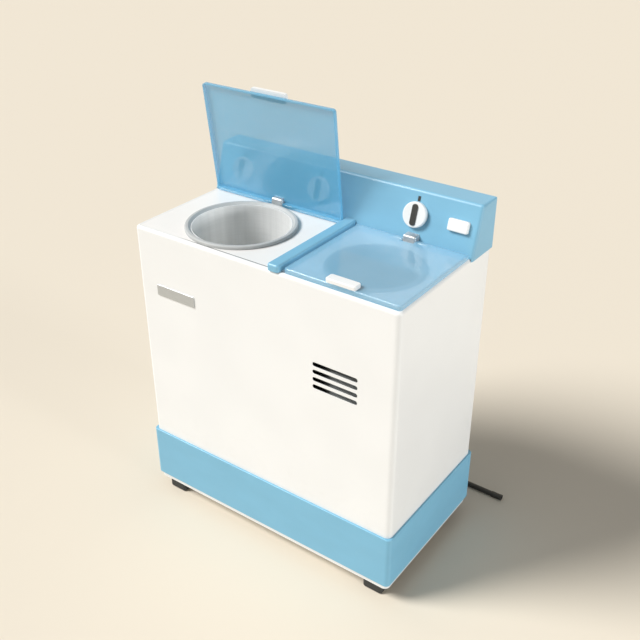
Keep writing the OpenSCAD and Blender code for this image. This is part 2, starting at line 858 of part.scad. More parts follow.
module pointer(x) {
    color(black) on_panel(x, knob_s) translate([0, 0, knob_top])
        soft_box(14, 2 * knob_r - 10, pointer_t, 6.9, 1.2);
}

module wash_timer_knob() {
    knob(wash_timer_x);
}

module wash_timer_pointer() {
    pointer(wash_timer_x);
}

module drain_selector_knob() {
    knob(selector_x);
}

module drain_selector_pointer() {
    pointer(selector_x);
}

module spin_timer_knob() {
    knob(spin_timer_x);
}

module spin_timer_pointer() {
    pointer(spin_timer_x);
}

module push_button() {
    color(white) on_panel(button_x, knob_s) {
        translate([0, 0, -button_in]) soft_box(button_w, button_h, button_in + button_out, button_edge, 3);
        translate([0, 0, -button_tail]) cylinder(r = button_stem_r, h = button_tail - button_in + 1);
    }
}

// Lids and hinges

module hinge_block(x) {
    depth = 30;
    color(grey) difference() {
        union() {
            difference() {
                translate([x, block_front + depth / 2, deck_z]) soft_box(block_w, depth, block_h, 4.5, 4.5);
                behind_panel(clear);
            }
            for (s = [-1, 1]) translate([x + s * 10, hinge_y, deck_under - 4]) cylinder(r = 2.4, h = deck_t + 5);
        }
        translate([x, hinge_y, hinge_z]) rotate([0, 90, 0])
            cylinder(r = pin_r + run_fit, h = block_w + 2, center = true);
    }
}

module wash_hinge_block() {
    hinge_block(wash_lid_x);
}

module spin_hinge_block() {
    hinge_block(spin_lid_x);
}

module hinge_pins() {
    color(steel) for (x = [wash_lid_x, spin_lid_x]) translate([x, hinge_y, hinge_z]) rotate([0, 90, 0])
        cylinder(r = pin_r, h = block_w + 2 * pin_reach, center = true);
}

// Lid in its closed frame: hinge axis at the origin, front edge towards -Y
module lid(w) {
    over = 20;
    r = lid_t / 2;
    cav_front = -lid_len + lid_wall;
    difference() {
        union() {
            difference() {
                translate([0, -lid_len / 2 + over / 2, -r]) soft_box(w, lid_len + over, lid_t, 8, lid_edge);
                translate([-w, 0, -lid_t]) cube([2 * w, 2 * over, 2 * lid_t]);
            }
            rotate([0, 90, 0]) cylinder(r = r, h = w, center = true);
        }
        translate([0, (cav_front - lid_cavity_back) / 2, -r - 1]) linear_extrude(lid_t - lid_wall + 1)
            round_rect(w - 2 * lid_wall, -lid_cavity_back - cav_front, 5);
        translate([-block_w / 2 - 2 * clear, -notch_len, -lid_t])
            cube([block_w + 4 * clear, notch_len + lid_t, 2 * lid_t]);
        rotate([0, 90, 0])
            cylinder(r = pin_r + run_fit, h = block_w + 2 * pin_reach + 2, center = true);
    }
}

module lid_handle(w, out) {
    translate([0, -lid_len - out + handle_d / 2, lid_t / 2]) soft_box(w, handle_d, handle_h, 6, 2.5);
}

module wash_lid() {
    color(clear_blue, 0.8) at_hinge(wash_lid_x, wash_lid_open) lid(wash_lid_w);
}

module wash_lid_handle() {
    color(white) at_hinge(wash_lid_x, wash_lid_open) lid_handle(wash_handle_w, wash_handle_out);
}

module spin_lid() {
    color(clear_blue, 0.8) at_hinge(spin_lid_x, 0) lid(spin_lid_w);
}

module spin_lid_handle() {
    color(white) at_hinge(spin_lid_x, 0) lid_handle(spin_handle_w, 0);
}

// Wash tub

module at_tub() {
    translate([tub_x, tub_y, 0]) children();
}

module wash_tub() {
    color("#c9cdca") at_tub() difference() {
        rotate_extrude() {
            cup_section(tub_r, tub_z, tub_top, tub_t, tub_bend);
            translate([tub_r, deck_z]) square([tub_flange_r - tub_r, tub_t]);
        }
        translate([0, 0, tub_z - 1]) cylinder(r = bearing_boss_r + clear, h = tub_t + 2);
        translate([tub_drain_dx, 0, tub_z - 1]) cylinder(r = tub_drain_r, h = tub_t + 2);
        translate([tub_r - 10, 0, overflow_z]) rotate([0, 90, 0]) cylinder(r = overflow_r, h = 20);
        translate([tub_r - 10, fill_dy, fill_z]) rotate([0, 90, 0]) cylinder(r = fill_bore, h = 20);
    }
}

module tub_lip() {
    color(white) at_tub() rotate_extrude()
        translate([tub_r, tub_top]) edge_profile(lip_w, lip_t, 0.8, 0);
}

// Ring with a bevelled inner edge, rebated over the tub's flange
module wash_ring() {
    color(grey) at_tub() rotate_extrude() translate([ring_r - ring_w, deck_z]) difference() {
        edge_profile(ring_w, ring_h, 4, 1);
        translate([0, tub_t]) polygon([
            [-1, lip_t], [0, lip_t], [ring_bevel, ring_h - tub_t], [ring_bevel, ring_h], [-1, ring_h]
        ]);
        translate([-1, -1]) square([tub_flange_r + clear - ring_r + ring_w + 1, tub_t + 1]);
    }
}

module overflow_filter() {
    ro = tub_r - clear;
    ri = ro - 3.5;
    z0 = tub_z + tub_t + tub_bend + 2;
    h = 262;
    color(white) at_tub() rotate([0, 0, -15]) difference() {
        rotate_extrude(angle = 30) translate([ri, z0]) square([ro - ri, h]);
        for (i = [0:9]) rotate([0, 0, 4]) rotate_extrude(angle = 22)
            translate([ri - 1, z0 + 20 + i * 24]) square([ro - ri + 2, 6]);
    }
}

// Wash drive

module pulsator() {
    z = pulsator_z;
    color(blue) at_tub() difference() {
        union() {
            rotate_extrude() polygon([
                [0, z], [pulsator_r, z], [pulsator_r, z + 3], [pulsator_r / 2, z + 9],
                [hub_h - 2, z + hub_h], [0, z + hub_h]
            ]);
            for (a = [0:60:300]) rotate([0, 0, a]) rotate([90, 0, 0]) linear_extrude(9, center = true) polygon([
                [10, z + 2], [pulsator_r - 3, z + 2], [pulsator_r - 3, z + 8], [pulsator_r / 2, z + hub_h],
                [10, z + hub_h + 6]
            ]);
        }
        translate([0, 0, z - 1]) cylinder(r = shaft_r + run_fit, h = hub_h + 2);
        translate([0, 0, z + hub_h]) cylinder(r = 14, h = hub_h);
    }
}

module pulsator_shaft() {
    z = pulsator_z;
    color(steel) at_tub() {
        translate([0, 0, belt_z - shaft_foot]) cylinder(r = shaft_r, h = z + hub_h + 2 - belt_z + shaft_foot);
        translate([0, 0, z + hub_h]) cylinder(r = 13, h = 7);
        translate([0, 0, belt_z - shaft_foot - 4]) cylinder(r = shaft_r + 5, h = 10, $fn = 6);
    }
}

module bearing_housing() {
    color(grey) at_tub() difference() {
        union() {
            translate([0, 0, bearing_z]) cylinder(r = bearing_r, h = tub_z - bearing_z);
            translate([0, 0, tub_z - 8]) cylinder(r = bearing_flange_r, h = 8);
            translate([0, 0, tub_z - 1]) cylinder(r = bearing_boss_r, h = 1 + tub_t + 1.5);
        }
        translate([0, 0, bearing_z - 1]) cylinder(r = shaft_r + run_fit, h = tub_z - bearing_z + 20);
        for (a = [30:60:330]) rotate([0, 0, a]) translate([37, 0, tub_z - 9]) cylinder(r = 3, h = 7);
    }
}

module groove_rim(r) {
    translate([0, belt_z - pulley_w / 2]) difference() {
        square([r, pulley_w]);
        translate([r - groove_d, (pulley_w - groove_w) / 2]) square([groove_d + 1, groove_w]);
    }
}

module wash_pulley() {
    color(grey) at_tub() difference() {
        rotate_extrude() {
            difference() {
                groove_rim(pulley_r);
                for (s = [0, 1]) translate([16, belt_z - pulley_w / 2 - 1 + s * (pulley_w / 2 + 4)])
                    square([pulley_r - groove_d - 22, pulley_w / 2 - 2]);
            }
            translate([0, belt_z - 12]) square([16, 26]);
        }
        translate([0, 0, belt_z - 20]) cylinder(r = shaft_r + run_fit, h = 40);
        for (a = [0:60:300]) rotate([0, 0, a]) translate([38, 0, belt_z - 20]) cylinder(r = 12, h = 40);
    }
}

module drive_belt() {
    r1 = pulley_r - groove_d + clear;
    r2 = small_pulley_r - groove_d + clear;
    turn = acos((r1 - r2) / belt_span);
    run = belt_span * sin(turn);
    color(black) at_tub() rotate([0, 0, belt_turn]) translate([0, 0, belt_z - belt_w / 2]) {
        rotate([0, 0, turn]) rotate_extrude(angle = 360 - 2 * turn) translate([r1, 0]) square([belt_t, belt_w]);
        translate([belt_span, 0, 0]) rotate([0, 0, -turn]) rotate_extrude(angle = 2 * turn)
            translate([r2, 0]) square([belt_t, belt_w]);
        for (flip = [0, 1]) mirror([0, flip, 0]) rotate([0, 0, turn]) translate([r1, -run, 0])
            cube([belt_t, run, belt_w]);
    }
}

module at_motor() {
    translate([motor_x, motor_y, 0]) children();
}

module wash_motor() {
    color(steel) at_motor() difference() {
        union() {
            translate([0, 0, motor_z]) cylinder(r = motor_r - 6, h = motor_h);
            translate([0, 0, motor_z + 9]) cylinder(r = motor_r, h = motor_h - 18);
            translate([0, 0, motor_z + motor_h]) cylinder(r = 14, h = 8);
        }
        translate([0, 0, motor_z + 12]) cylinder(r = motor_shaft_r + run_fit, h = motor_h + 10);
        for (a = [0:45:315]) rotate([0, 0, a]) translate([32, 0, motor_z + motor_h - 5]) cylinder(r = 5, h = 6);
    }
}

module motor_stand() {
    s = motor_r - 4;
    color(steel) at_motor() {
        difference() {
            translate([0, 0, motor_z - stand_t]) linear_extrude(stand_t) round_rect(2 * s + 26, 2 * s + 26, 13);
            translate([0, 0, motor_z - stand_t - 1]) cylinder(r = 20, h = stand_t + 2);
        }
        for (sx = [-1, 1], sy = [-1, 1]) translate([sx * s, sy * s, pan_floor]) {
            cylinder(r = 7, h = motor_z - stand_t - pan_floor);
            cylinder(r = 12, h = 4);
        }
    }
}

module motor_pulley() {
    color(steel) at_motor() rotate_extrude() {
        groove_rim(small_pulley_r);
        translate([0, motor_z + 14]) square([motor_shaft_r, belt_z + 14 - motor_z - 14]);
    }
}

// Spinner

module at_spin() {
    translate([spin_x, spin_y, 0]) children();
}

module spin_case() {
    color("#d9dedd") at_spin() difference() {
        rotate_extrude() {
            cup_section(case_r, case_z, deck_under, case_t, case_bend);
            translate([case_r, deck_under - 3]) square([case_flange_r - case_r, 3]);
        }
        translate([0, 0, case_z - 1]) cylinder(r = seal_hole_r, h = case_t + 2);
        translate([-spin_drain_dx, tub_y - spin_y, case_z - 1]) cylinder(r = pipe_bore, h = case_t + 2);
    }
}

module spin_ring() {
    w = 11;
    color(grey) at_spin() rotate_extrude() {
        translate([mouth_r, deck_z]) intersection() {
            edge_profile(w, spin_ring_h, 3, 0);
            translate([w, 0]) mirror([1, 0]) edge_profile(w, spin_ring_h, 2, 0);
        }
        translate([mouth_r, deck_under - 8]) square([4.5, deck_t + 10]);
    }
}

module spin_basket() {
    z1 = basket_z + basket_h;
    inner = basket_r - basket_t;
    rows = 1 + floor((basket_h - hole_first - hole_last) / hole_pitch);
    color("#cfd4d4") at_spin() difference() {
        rotate_extrude() {
            cup_section(inner, basket_z, z1 - 6, basket_t, basket_bend);
            translate([inner - 8, z1 - 14]) difference() {
                edge_profile(12, 14, 3, 3);
                translate([3, 3]) square([6, 8]);
            }
        }
        translate([0, 0, basket_z - 1]) cylinder(r = spin_shaft_r + run_fit, h = basket_t + 2);
        for (i = [0:rows - 1], a = [0:30:330])
            rotate([0, 0, a + (i % 2) * 15]) translate([inner - 3, 0, basket_z + hole_first + i * hole_pitch])
                rotate([0, 90, 0]) cylinder(r = 3.5, h = basket_t + 6);
    }
}

module spin_shaft() {
    color(steel) at_spin() {
        rotate_extrude() {
            translate([0, spin_motor_z + 16]) square([spin_shaft_r, basket_z + 16 - spin_motor_z - 16]);
            translate([0, drum_z]) square([drum_r, 4]);
            translate([drum_r - drum_wall, drum_z]) square([drum_wall, drum_h]);
            translate([0, basket_z - spin_flange_t]) square([28, spin_flange_t]);
        }
        translate([0, 0, basket_z + basket_t]) cylinder(r = 12, h = 10, $fn = 6);
    }
}

module spin_seal() {
    color(black) at_spin() rotate_extrude() {
        translate([spin_shaft_r + clear, case_z - 3]) square([seal_hole_r - spin_shaft_r - 2 * clear, case_t + 3]);
        translate([spin_shaft_r + clear, case_z + case_t]) square([seal_hole_r + 5 - spin_shaft_r, 3]);
        translate([spin_shaft_r + clear, case_z + case_t]) square([3.5, 10]);
    }
}

module spin_motor() {
    z = spin_motor_z;
    top = z + spin_motor_h;
    reach = norm([brake_arm, brake_back]);
    color(steel) at_spin() difference() {
        union() {
            translate([0, 0, z]) cylinder(r = spin_flange_r, h = 5);
            translate([0, 0, z]) cylinder(r = spin_motor_r, h = spin_motor_h);
            translate([0, 0, top]) cylinder(r = 16, h = 10);
            translate([0, 0, top - 14]) rotate([0, 0, atan2(-brake_back, -brake_arm)]) {
                linear_extrude(8) union() {
                    translate([spin_motor_r - 12, -9]) square([reach - spin_motor_r + 12, 18]);
                    translate([reach, 0]) circle(9);
                }
                translate([reach, 0, 4]) cylinder(r = brake_pin_r, h = drum_z + drum_h - top + 10);
                translate([reach, 0, 4]) cylinder(r = brake_pin_r + 3, h = drum_z + 14 - clear - top);
            }
        }
        translate([0, 0, z + 12]) cylinder(r = spin_shaft_r + run_fit, h = spin_motor_h + 20);
    }
}

module spin_motor_mounts() {
    color(black) for (a = [90, 210, 330]) at_spin() rotate([0, 0, a]) translate([mount_ring_r, 0, 0]) {
        translate([0, 0, mount_boss_z]) cylinder(r = mount_r, h = 14);
        translate([0, 0, mount_boss_z + 14]) cylinder(r = mount_r - 2, h = spin_motor_z - mount_boss_z - 28);
        translate([0, 0, spin_motor_z - 14]) cylinder(r = mount_r, h = 14);
    }
}

module brake_lever() {
    z = drum_z + 4;
    len = 2 * brake_back;
    pad = brake_arm - 4 - drum_r - brake_gap;
    color(steel) at_spin() translate([-brake_arm, -brake_back, 0]) difference() {
        union() {
            translate([0, 0, z]) cylinder(r = 9, h = lever_h);
            translate([-4, 0, z]) cube([8, len, lever_h]);
            translate([4, brake_back - 11, z]) cube([pad, 22, lever_h]);
        }
        translate([0, 0, z - 1]) cylinder(r = brake_pin_r + run_fit, h = lever_h + 2);
    }
}

// Drain

module drain_valve() {
    cav = valve_r - valve_wall;
    color("#d6dad6") translate([valve_x, valve_y, 0]) difference() {
        translate([0, 0, valve_z]) cylinder(r = valve_r, h = valve_h);
        difference() {
            translate([0, 0, valve_z + valve_wall]) cylinder(r = cav, h = valve_h - 2 * valve_wall);
            translate([0, 0, valve_z]) cylinder(r = valve_seat_r + 5, h = valve_wall + 3);
        }
        translate([0, 0, valve_z - 1]) cylinder(r = valve_seat_r, h = valve_wall + 8);
        translate([0, 0, valve_z + valve_h - valve_wall - 1]) cylinder(r = rod_r + run_fit, h = valve_wall + 2);
        translate([-valve_r - 1, 0, valve_port_z]) rotate([0, 90, 0]) cylinder(r = pipe_bore, h = 2 * valve_r + 2);
        translate([-overflow_drop_dx, 0, valve_z + valve_h - valve_wall - 1])
            cylinder(r = overflow_r, h = valve_wall + 2);
    }
}

module valve_plunger() {
    seat = valve_z + valve_wall + 3;
    top = valve_z + valve_h + plunger_rise;
    color(black) translate([valve_x, valve_y, 0]) {
        translate([0, 0, seat + clear]) cylinder(r = plunger_r, h = 11);
        translate([0, 0, seat + clear + 5]) cylinder(r = rod_r, h = top - seat - clear - 5);
        translate([0, 0, top - 4]) cylinder(r = 6, h = 4);
    }
}

module water_pipes() {
    x_tub = tub_x + tub_drain_dx;
    x_spin = spin_x - spin_drain_dx;
    x_over = valve_x - overflow_drop_dx;
    pocket_y = panel_back - pocket_d;
    color("#cdd2d0") {
        difference() {
            union() {
                pipe([[x_tub, tub_y, tub_z], [x_tub, tub_y, valve_port_z], [valve_x - 5, valve_y, valve_port_z]],
                    pipe_r, pipe_bore);
                pipe([[x_spin, tub_y, case_z], [x_spin, tub_y, valve_port_z],
                    [valve_x + 5, valve_y, valve_port_z]], pipe_r, pipe_bore);
            }
            translate([valve_x, valve_y, valve_z]) cylinder(r = valve_r + run_fit, h = valve_h);
        }
        difference() {
            union() {
                pipe([[tub_x + tub_r - 6, tub_y, overflow_z], [x_over, tub_y, overflow_z],
                    [x_over, tub_y, valve_z + valve_h]], overflow_r + 2, overflow_r);
                pipe([[inlet_x, pocket_y, inlet_z], [inlet_x, fill_y, inlet_z], [inlet_x, fill_y, fill_z],
                    [inlet_x, tub_y + fill_dy, fill_z], [tub_x + tub_r - 20, tub_y + fill_dy, fill_z]],
                    fill_r, fill_bore);
            }
            translate([tub_x, tub_y, tub_z]) cylinder(r = tub_r + tub_t + run_fit, h = tub_top - tub_z);
        }
        outlet_pipe();
    }
}

module outlet_pipe() {
    difference() {
        union() {
            bar_path([[valve_x, valve_y, valve_z], [valve_x, valve_y, outlet_z], [valve_x, outlet_y, outlet_z],
                [outlet_x, outlet_y, outlet_z], [outlet_x, back_y - 2, outlet_z]], outlet_r);
            rod([outlet_x, outlet_y, outlet_z], [outlet_x, spigot_face, outlet_z], spigot_r);
            rod([outlet_x, back_y + back_t, outlet_z], [outlet_x, spigot_face, outlet_z], spigot_r + 3);
        }
        bar_path([[valve_x, valve_y, valve_z + 1], [valve_x, valve_y, outlet_z], [valve_x, outlet_y, outlet_z],
            [outlet_x, outlet_y, outlet_z], [outlet_x, back_y - 8, outlet_z]], outlet_bore);
        rod([outlet_x, outlet_y, outlet_z], [outlet_x, spigot_face + 1, outlet_z], spigot_bore);
    }
}

// Wires that work the drain valve and the spin brake

module control_wires() {
    plunger_top = valve_z + valve_h + plunger_rise + valve_lift;
    lever_x = spin_x - brake_arm;
    lever_y = spin_y + brake_back - 6;
    color(black) {
        tube(route([[selector_x, wire_y, wire_top], [selector_x, wire_y, wire_top - wire_drop],
            [selector_x, wire_y - 10, (wire_top + plunger_top) / 2 - 100],
            [selector_x + 20, valve_y + 2 * wire_sweep, plunger_top + 45],
            [valve_x - 15, valve_y + wire_sweep / 2, plunger_top + 34],
            [valve_x, valve_y, plunger_top + 20], [valve_x, valve_y, plunger_top + 10],
            [valve_x, valve_y, plunger_top + 2 * clear]], wire_steps), wire_r, wire_sides);
        tube(route([[spin_lid_x, hinge_y, deck_under - 4], [spin_lid_x, hinge_y + 6, 600],
            [spin_lid_x - 10, hinge_y + 10, 420], [lever_x + 20, hinge_y - 20, 320],
            [lever_x, lever_y + 10, 275], [lever_x, lever_y, drum_z + 4 + lever_h + clear]], wire_steps),
            wire_r, wire_sides);
    }
}

// Drain hose: a smooth curve through the route's points

function curve(p0, p1, p2, p3, t) = 0.5 * (2 * p1 + (p2 - p0) * t + (2 * p0 - 5 * p1 + 4 * p2 - p3) * t * t
    + (3 * p1 - p0 - 3 * p2 + p3) * t * t * t);

function route(pts, steps) = concat(
    [for (i = [0:len(pts) - 2], k = [0:steps - 1])
        curve(pts[max(i - 1, 0)], pts[i], pts[i + 1], pts[min(i + 2, len(pts) - 1)], k / steps)],
    [pts[len(pts) - 1]]
);

function unit(v) = v / norm(v);

// Direction of the path at point i; both ends run along their own stretch
function heading(p, i) = unit(p[min(i + 1, len(p) - 1)] - p[max(i - 1, 0)]);

function ring_points(c, t, r, sides) = let (u = unit(cross(t, [-1, 1, 1])), v = cross(t, u))
    [for (k = [0:sides - 1]) c + r * cos(360 * k / sides) * u + r * sin(360 * k / sides) * v];

module tube(path, r, sides) {
    last = len(path) - 1;
    points = [for (i = [0:last]) each ring_points(path[i], heading(path, i), r, sides)];
    sidewalls = [for (i = [0:last - 1], k = [0:sides - 1]) let (n = (k + 1) % sides)
        [i * sides + k, (i + 1) * sides + k, (i + 1) * sides + n, i * sides + n]];
    start = [for (k = [0:sides - 1]) k];
    finish = [for (k = [sides - 1:-1:0]) last * sides + k];
    polyhedron(points, concat(sidewalls, [start, finish]), convexity = 6);
}

module drain_hose() {
    color(black) tube(route(hose_points, hose_steps), hose_r, hose_sides);
}

module hose_end() {
    tip = hose_points[len(hose_points) - 1];
    color(black) translate(tip) rotate([0, 90, 0]) difference() {
        cylinder(r = hose_end_r, h = hose_end_len);
        translate([0, 0, 2]) cylinder(r = hose_r - 2, h = hose_end_len);
    }
}

base_pan();
foot_front_left();
foot_front_right();
foot_rear_left();
foot_rear_right();
skirt_band();
cabinet_shell();
louvre_insert();
badge_plate();
back_cover();
back_cover_screws();
cord_gland();
top_deck();
divider_rib();
control_panel();
panel_rear_cover();
panel_marks();
timers();
drain_selector();
button_switch();
wash_timer_knob();
wash_timer_pointer();
drain_selector_knob();
drain_selector_pointer();
spin_timer_knob();
spin_timer_pointer();
push_button();
wash_hinge_block();
spin_hinge_block();
hinge_pins();
wash_lid();
wash_lid_handle();
spin_lid();
spin_lid_handle();
wash_tub();
tub_lip();
wash_ring();
overflow_filter();
pulsator();
pulsator_shaft();
bearing_housing();
wash_pulley();
drive_belt();
wash_motor();
motor_stand();
motor_pulley();
spin_case();
spin_ring();
spin_basket();
spin_shaft();
spin_seal();
spin_motor();
spin_motor_mounts();
brake_lever();
drain_valve();
valve_plunger();
water_pipes();
control_wires();
drain_hose();
hose_end();
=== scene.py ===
"""Twin tub washing machine: camera, studio, drain hose and the finish of every piece.

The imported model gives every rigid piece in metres, with +Z up and the front towards -Y.
This script adds the round drain hose, dresses each piece in a procedural finish, and sets
the photograph's view and light.
"""

import logging
import math
from dataclasses import dataclass
from enum import Enum
from typing import Mapping, Optional, Sequence, Tuple, Union

import bpy
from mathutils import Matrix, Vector


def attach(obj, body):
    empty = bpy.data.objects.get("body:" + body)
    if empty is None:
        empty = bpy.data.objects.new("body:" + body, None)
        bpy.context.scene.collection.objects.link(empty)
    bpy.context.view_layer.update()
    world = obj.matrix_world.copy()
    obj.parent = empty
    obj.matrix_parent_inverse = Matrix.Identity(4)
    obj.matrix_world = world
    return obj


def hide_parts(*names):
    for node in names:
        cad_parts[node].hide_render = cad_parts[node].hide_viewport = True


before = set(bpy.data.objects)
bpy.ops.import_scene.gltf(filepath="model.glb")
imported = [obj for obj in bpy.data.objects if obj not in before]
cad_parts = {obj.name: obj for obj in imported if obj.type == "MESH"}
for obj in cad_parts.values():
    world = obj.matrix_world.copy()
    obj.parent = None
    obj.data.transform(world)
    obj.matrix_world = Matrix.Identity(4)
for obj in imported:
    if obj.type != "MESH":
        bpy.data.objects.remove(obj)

Colour = Tuple[float, float, float]
Point = Tuple[float, float, float]
Number = Union["Value", float, int]

LOG = logging.getLogger("twin_tub")

MIX_FACTOR, MIX_FIRST, MIX_SECOND = 0, 6, 7  # the colour mix node's inputs
MIX_RESULT = 2  # and its output
NOISE_MIDDLE = 0.5

SENSOR_WIDTH = 36.0  # mm
CAMERA_REACH = 100.0  # m
FLOOR_HALF = 30.0  # m

DUST = (0.72, 0.70, 0.65)
SOIL = (0.55, 0.52, 0.46)
# Colour of the painted seam shadow along the deck's front edge.
SEAM_SHADOW = (0.06, 0.06, 0.058)
WATER_MARK = (0.78, 0.78, 0.74)
ZINC_BLOOM = (0.74, 0.75, 0.75)
SKY = (0.97, 0.985, 1.0)

TUB_AXIS = (-0.1585, -0.0555)  # m, in plan
BASKET_AXIS = (0.222, -0.06)


class Axis(Enum):
    """An axis of the machine's frame, as the index of its coordinate."""

    X = 0
    Y = 1
    Z = 2


class Value:
    """A node socket that carries one number, with Python's operators as Math nodes."""

    def __init__(self, tree: "ShaderTree", socket: bpy.types.NodeSocket) -> None:
        """Wraps a socket.

        Args:
            tree: the shader tree that the socket is in.
            socket: the output socket.
        """
        self.tree = tree
        self.socket = socket

    def math(self, operation: str, *others: Number) -> "Value":
        """Applies one Math operation to this value.

        Args:
            operation: the Math node's operation.
            others: its further operands.

        Returns:
            The node's result.
        """
        inputs = dict(enumerate((self, *others)))
        return self.tree.node("ShaderNodeMath", {"operation": operation}, inputs).value()

    def __add__(self, other: Number) -> "Value":
        """Sum."""
        return self.math("ADD", other)

    __radd__ = __add__

    def __sub__(self, other: Number) -> "Value":
        """Difference."""
        return self.math("SUBTRACT", other)

    def __rsub__(self, other: Number) -> "Value":
        """Difference from a number."""
        inputs = {0: other, 1: self}
        return self.tree.node("ShaderNodeMath", {"operation": "SUBTRACT"}, inputs).value()

    def __mul__(self, other: Number) -> "Value":
        """Product."""
        return self.math("MULTIPLY", other)

    __rmul__ = __mul__

    def __pow__(self, other: Number) -> "Value":
        """Power."""
        return self.math("POWER", other)

    def most(self, other: Number) -> "Value":
        """The larger of two values."""
        return self.math("MAXIMUM", other)

    def swing(self, width: float) -> "Value":
        """Centres a noise on nothing and scales it.

        Args:
            width: how far apart its lowest and highest values come.

        Returns:
            The scaled value.
        """
        return (self - NOISE_MIDDLE) * width

    def band(self, low: float, high: float) -> "Value":
        """Maps low to 0 and high to 1, and holds the result between them.

        Args:
            low: the value that gives 0.
            high: the value that gives 1.

        Returns:
            The mapped value.
        """
        inputs = {"Value": self, "From Min": low, "From Max": high}
        return self.tree.node("ShaderNodeMapRange", {"clamp": True}, inputs).value("Result")


class Node:
    """One shader node, with its outputs by name or number."""

    def __init__(self, tree: "ShaderTree", made: bpy.types.Node) -> None:
        """Wraps a node.

        Args:
            tree: the tree that it is in.
            made: Blender's own node.
        """
        self.tree = tree
        self.made = made

    def out(self, which: Union[int, str] = 0) -> bpy.types.NodeSocket:
        """Gives an output socket.

        Args:
            which: its name or number.

        Returns:
            The socket.
        """
        return self.made.outputs[which]

    def value(self, which: Union[int, str] = 0) -> Value:
        """Gives an output as a number.

        Args:
            which: its name or number.

        Returns:
            The wrapped socket.
        """
        return Value(self.tree, self.made.outputs[which])


class ShaderTree:
    """A node tree of a material or the world, and short ways to add to it."""

    def __init__(self, tree: bpy.types.NodeTree) -> None:
        """Takes over a node tree and empties it.

        Args:
            tree: the node tree.
        """
        self.tree = tree
        self.tree.nodes.clear()
        self._place: Optional[Node] = None

    def node(
        self,
        kind: str,
        settings: Optional[Mapping[str, object]] = None,
        inputs: Optional[Mapping[Union[int, str], object]] = None,
    ) -> Node:
        """Adds a node, sets it up and links it.

        Args:
            kind: the node's type.
            settings: its own settings, by name.
            inputs: the value or link of each socket, by name or number.

        Returns:
            The wrapped node.
        """
        made = self.tree.nodes.new(kind)
        for key, setting in (settings or {}).items():
            setattr(made, key, setting)
        for key, given in (inputs or {}).items():
            socket = made.inputs[key]
            if isinstance(given, Value):
                self.tree.links.new(given.socket, socket)
            elif isinstance(given, bpy.types.NodeSocket):
                self.tree.links.new(given, socket)
            elif socket.type == "RGBA" and len(given) == 3:
                socket.default_value = (*given, 1.0)
            else:
                socket.default_value = given
        return Node(self, made)

    def place(self) -> bpy.types.NodeSocket:
        """Gives the point on the object.

        Returns:
            The point, in metres in the object's own frame.
        """
        if self._place is None:
            self._place = self.node("ShaderNodeTexCoord")
        return self._place.out("Object")

    def along(self, axis: Axis) -> Value:
        """Gives one coordinate of the point on the object.

        Args:
            axis: the coordinate's axis.

        Returns:
            The coordinate, in metres.
        """
        return self.node("ShaderNodeSeparateXYZ", inputs={0: self.place()}).value(axis.value)

    def stretched(self, scale: Point) -> bpy.types.NodeSocket:
        """Gives the point on the object with each axis scaled.

        Args:
            scale: the factors.

        Returns:
            The scaled point.
        """
        inputs = {0: self.place(), 1: scale}
        return self.node("ShaderNodeVectorMath", {"operation": "MULTIPLY"}, inputs).out()

    def noise(
        self,
        size: float,
        detail: float = 2.0,
        roughness: float = 0.5,
        vector: Optional[bpy.types.NodeSocket] = None,
        distortion: float = 0.0,
    ) -> Value:
        """Adds a noise whose features are of a real size.

        Args:
            size: the features' rough size, in metres.
            detail: how many finer layers it has.
            roughness: how strong the finer layers are.
            vector: where it is read, or None for the point on the object.
            distortion: how much it is warped.

        Returns:
            The noise, about 0.5.
        """
        inputs = {
            "Vector": vector or self.place(),
            "Scale": 1.0 / size,
            "Detail": detail,
            "Roughness": roughness,
            "Distortion": distortion,
        }
        return self.node("ShaderNodeTexNoise", inputs=inputs).value(0)

    def cells(self, size: float) -> Node:
        """Adds a pattern of cells of a real size.

        Args:
            size: the cells' rough size, in metres.

        Returns:
            The Voronoi node, with Distance and Color.
        """
        inputs = {"Vector": self.place(), "Scale": 1.0 / size}
        return self.node("ShaderNodeTexVoronoi", inputs=inputs)

    def mix(self, factor: Number, first: object, second: object) -> bpy.types.NodeSocket:
        """Mixes two colours.

        Args:
            factor: 0 for the first and 1 for the second.
            first: a colour or its socket.
            second: a colour or its socket.

        Returns:
            The mixed colour.
        """
        inputs = {MIX_FACTOR: factor, MIX_FIRST: first, MIX_SECOND: second}
        return self.node("ShaderNodeMix", {"data_type": "RGBA"}, inputs).out(MIX_RESULT)

    def bump(
        self, height: Value, depth: float, after: Optional[bpy.types.NodeSocket] = None
    ) -> bpy.types.NodeSocket:
        """Adds a bump of a real depth.

        Args:
            height: the relief, from 0 to 1.
            depth: its depth, in metres.
            after: a bump that it adds to.

        Returns:
            The bent normal.
        """
        inputs = {"Height": height, "Strength": 1.0, "Distance": depth}
        if after is not None:
            inputs["Normal"] = after
        return self.node("ShaderNodeBump", inputs=inputs).out()


def shade(colour: Colour, factor: float) -> Colour:
    """Multiplies a colour.

    Args:
        colour: the colour, linear.
        factor: what it is multiplied by.

    Returns:
        The new colour, held at 1.
    """
    return tuple(min(1.0, c * factor) for c in colour)


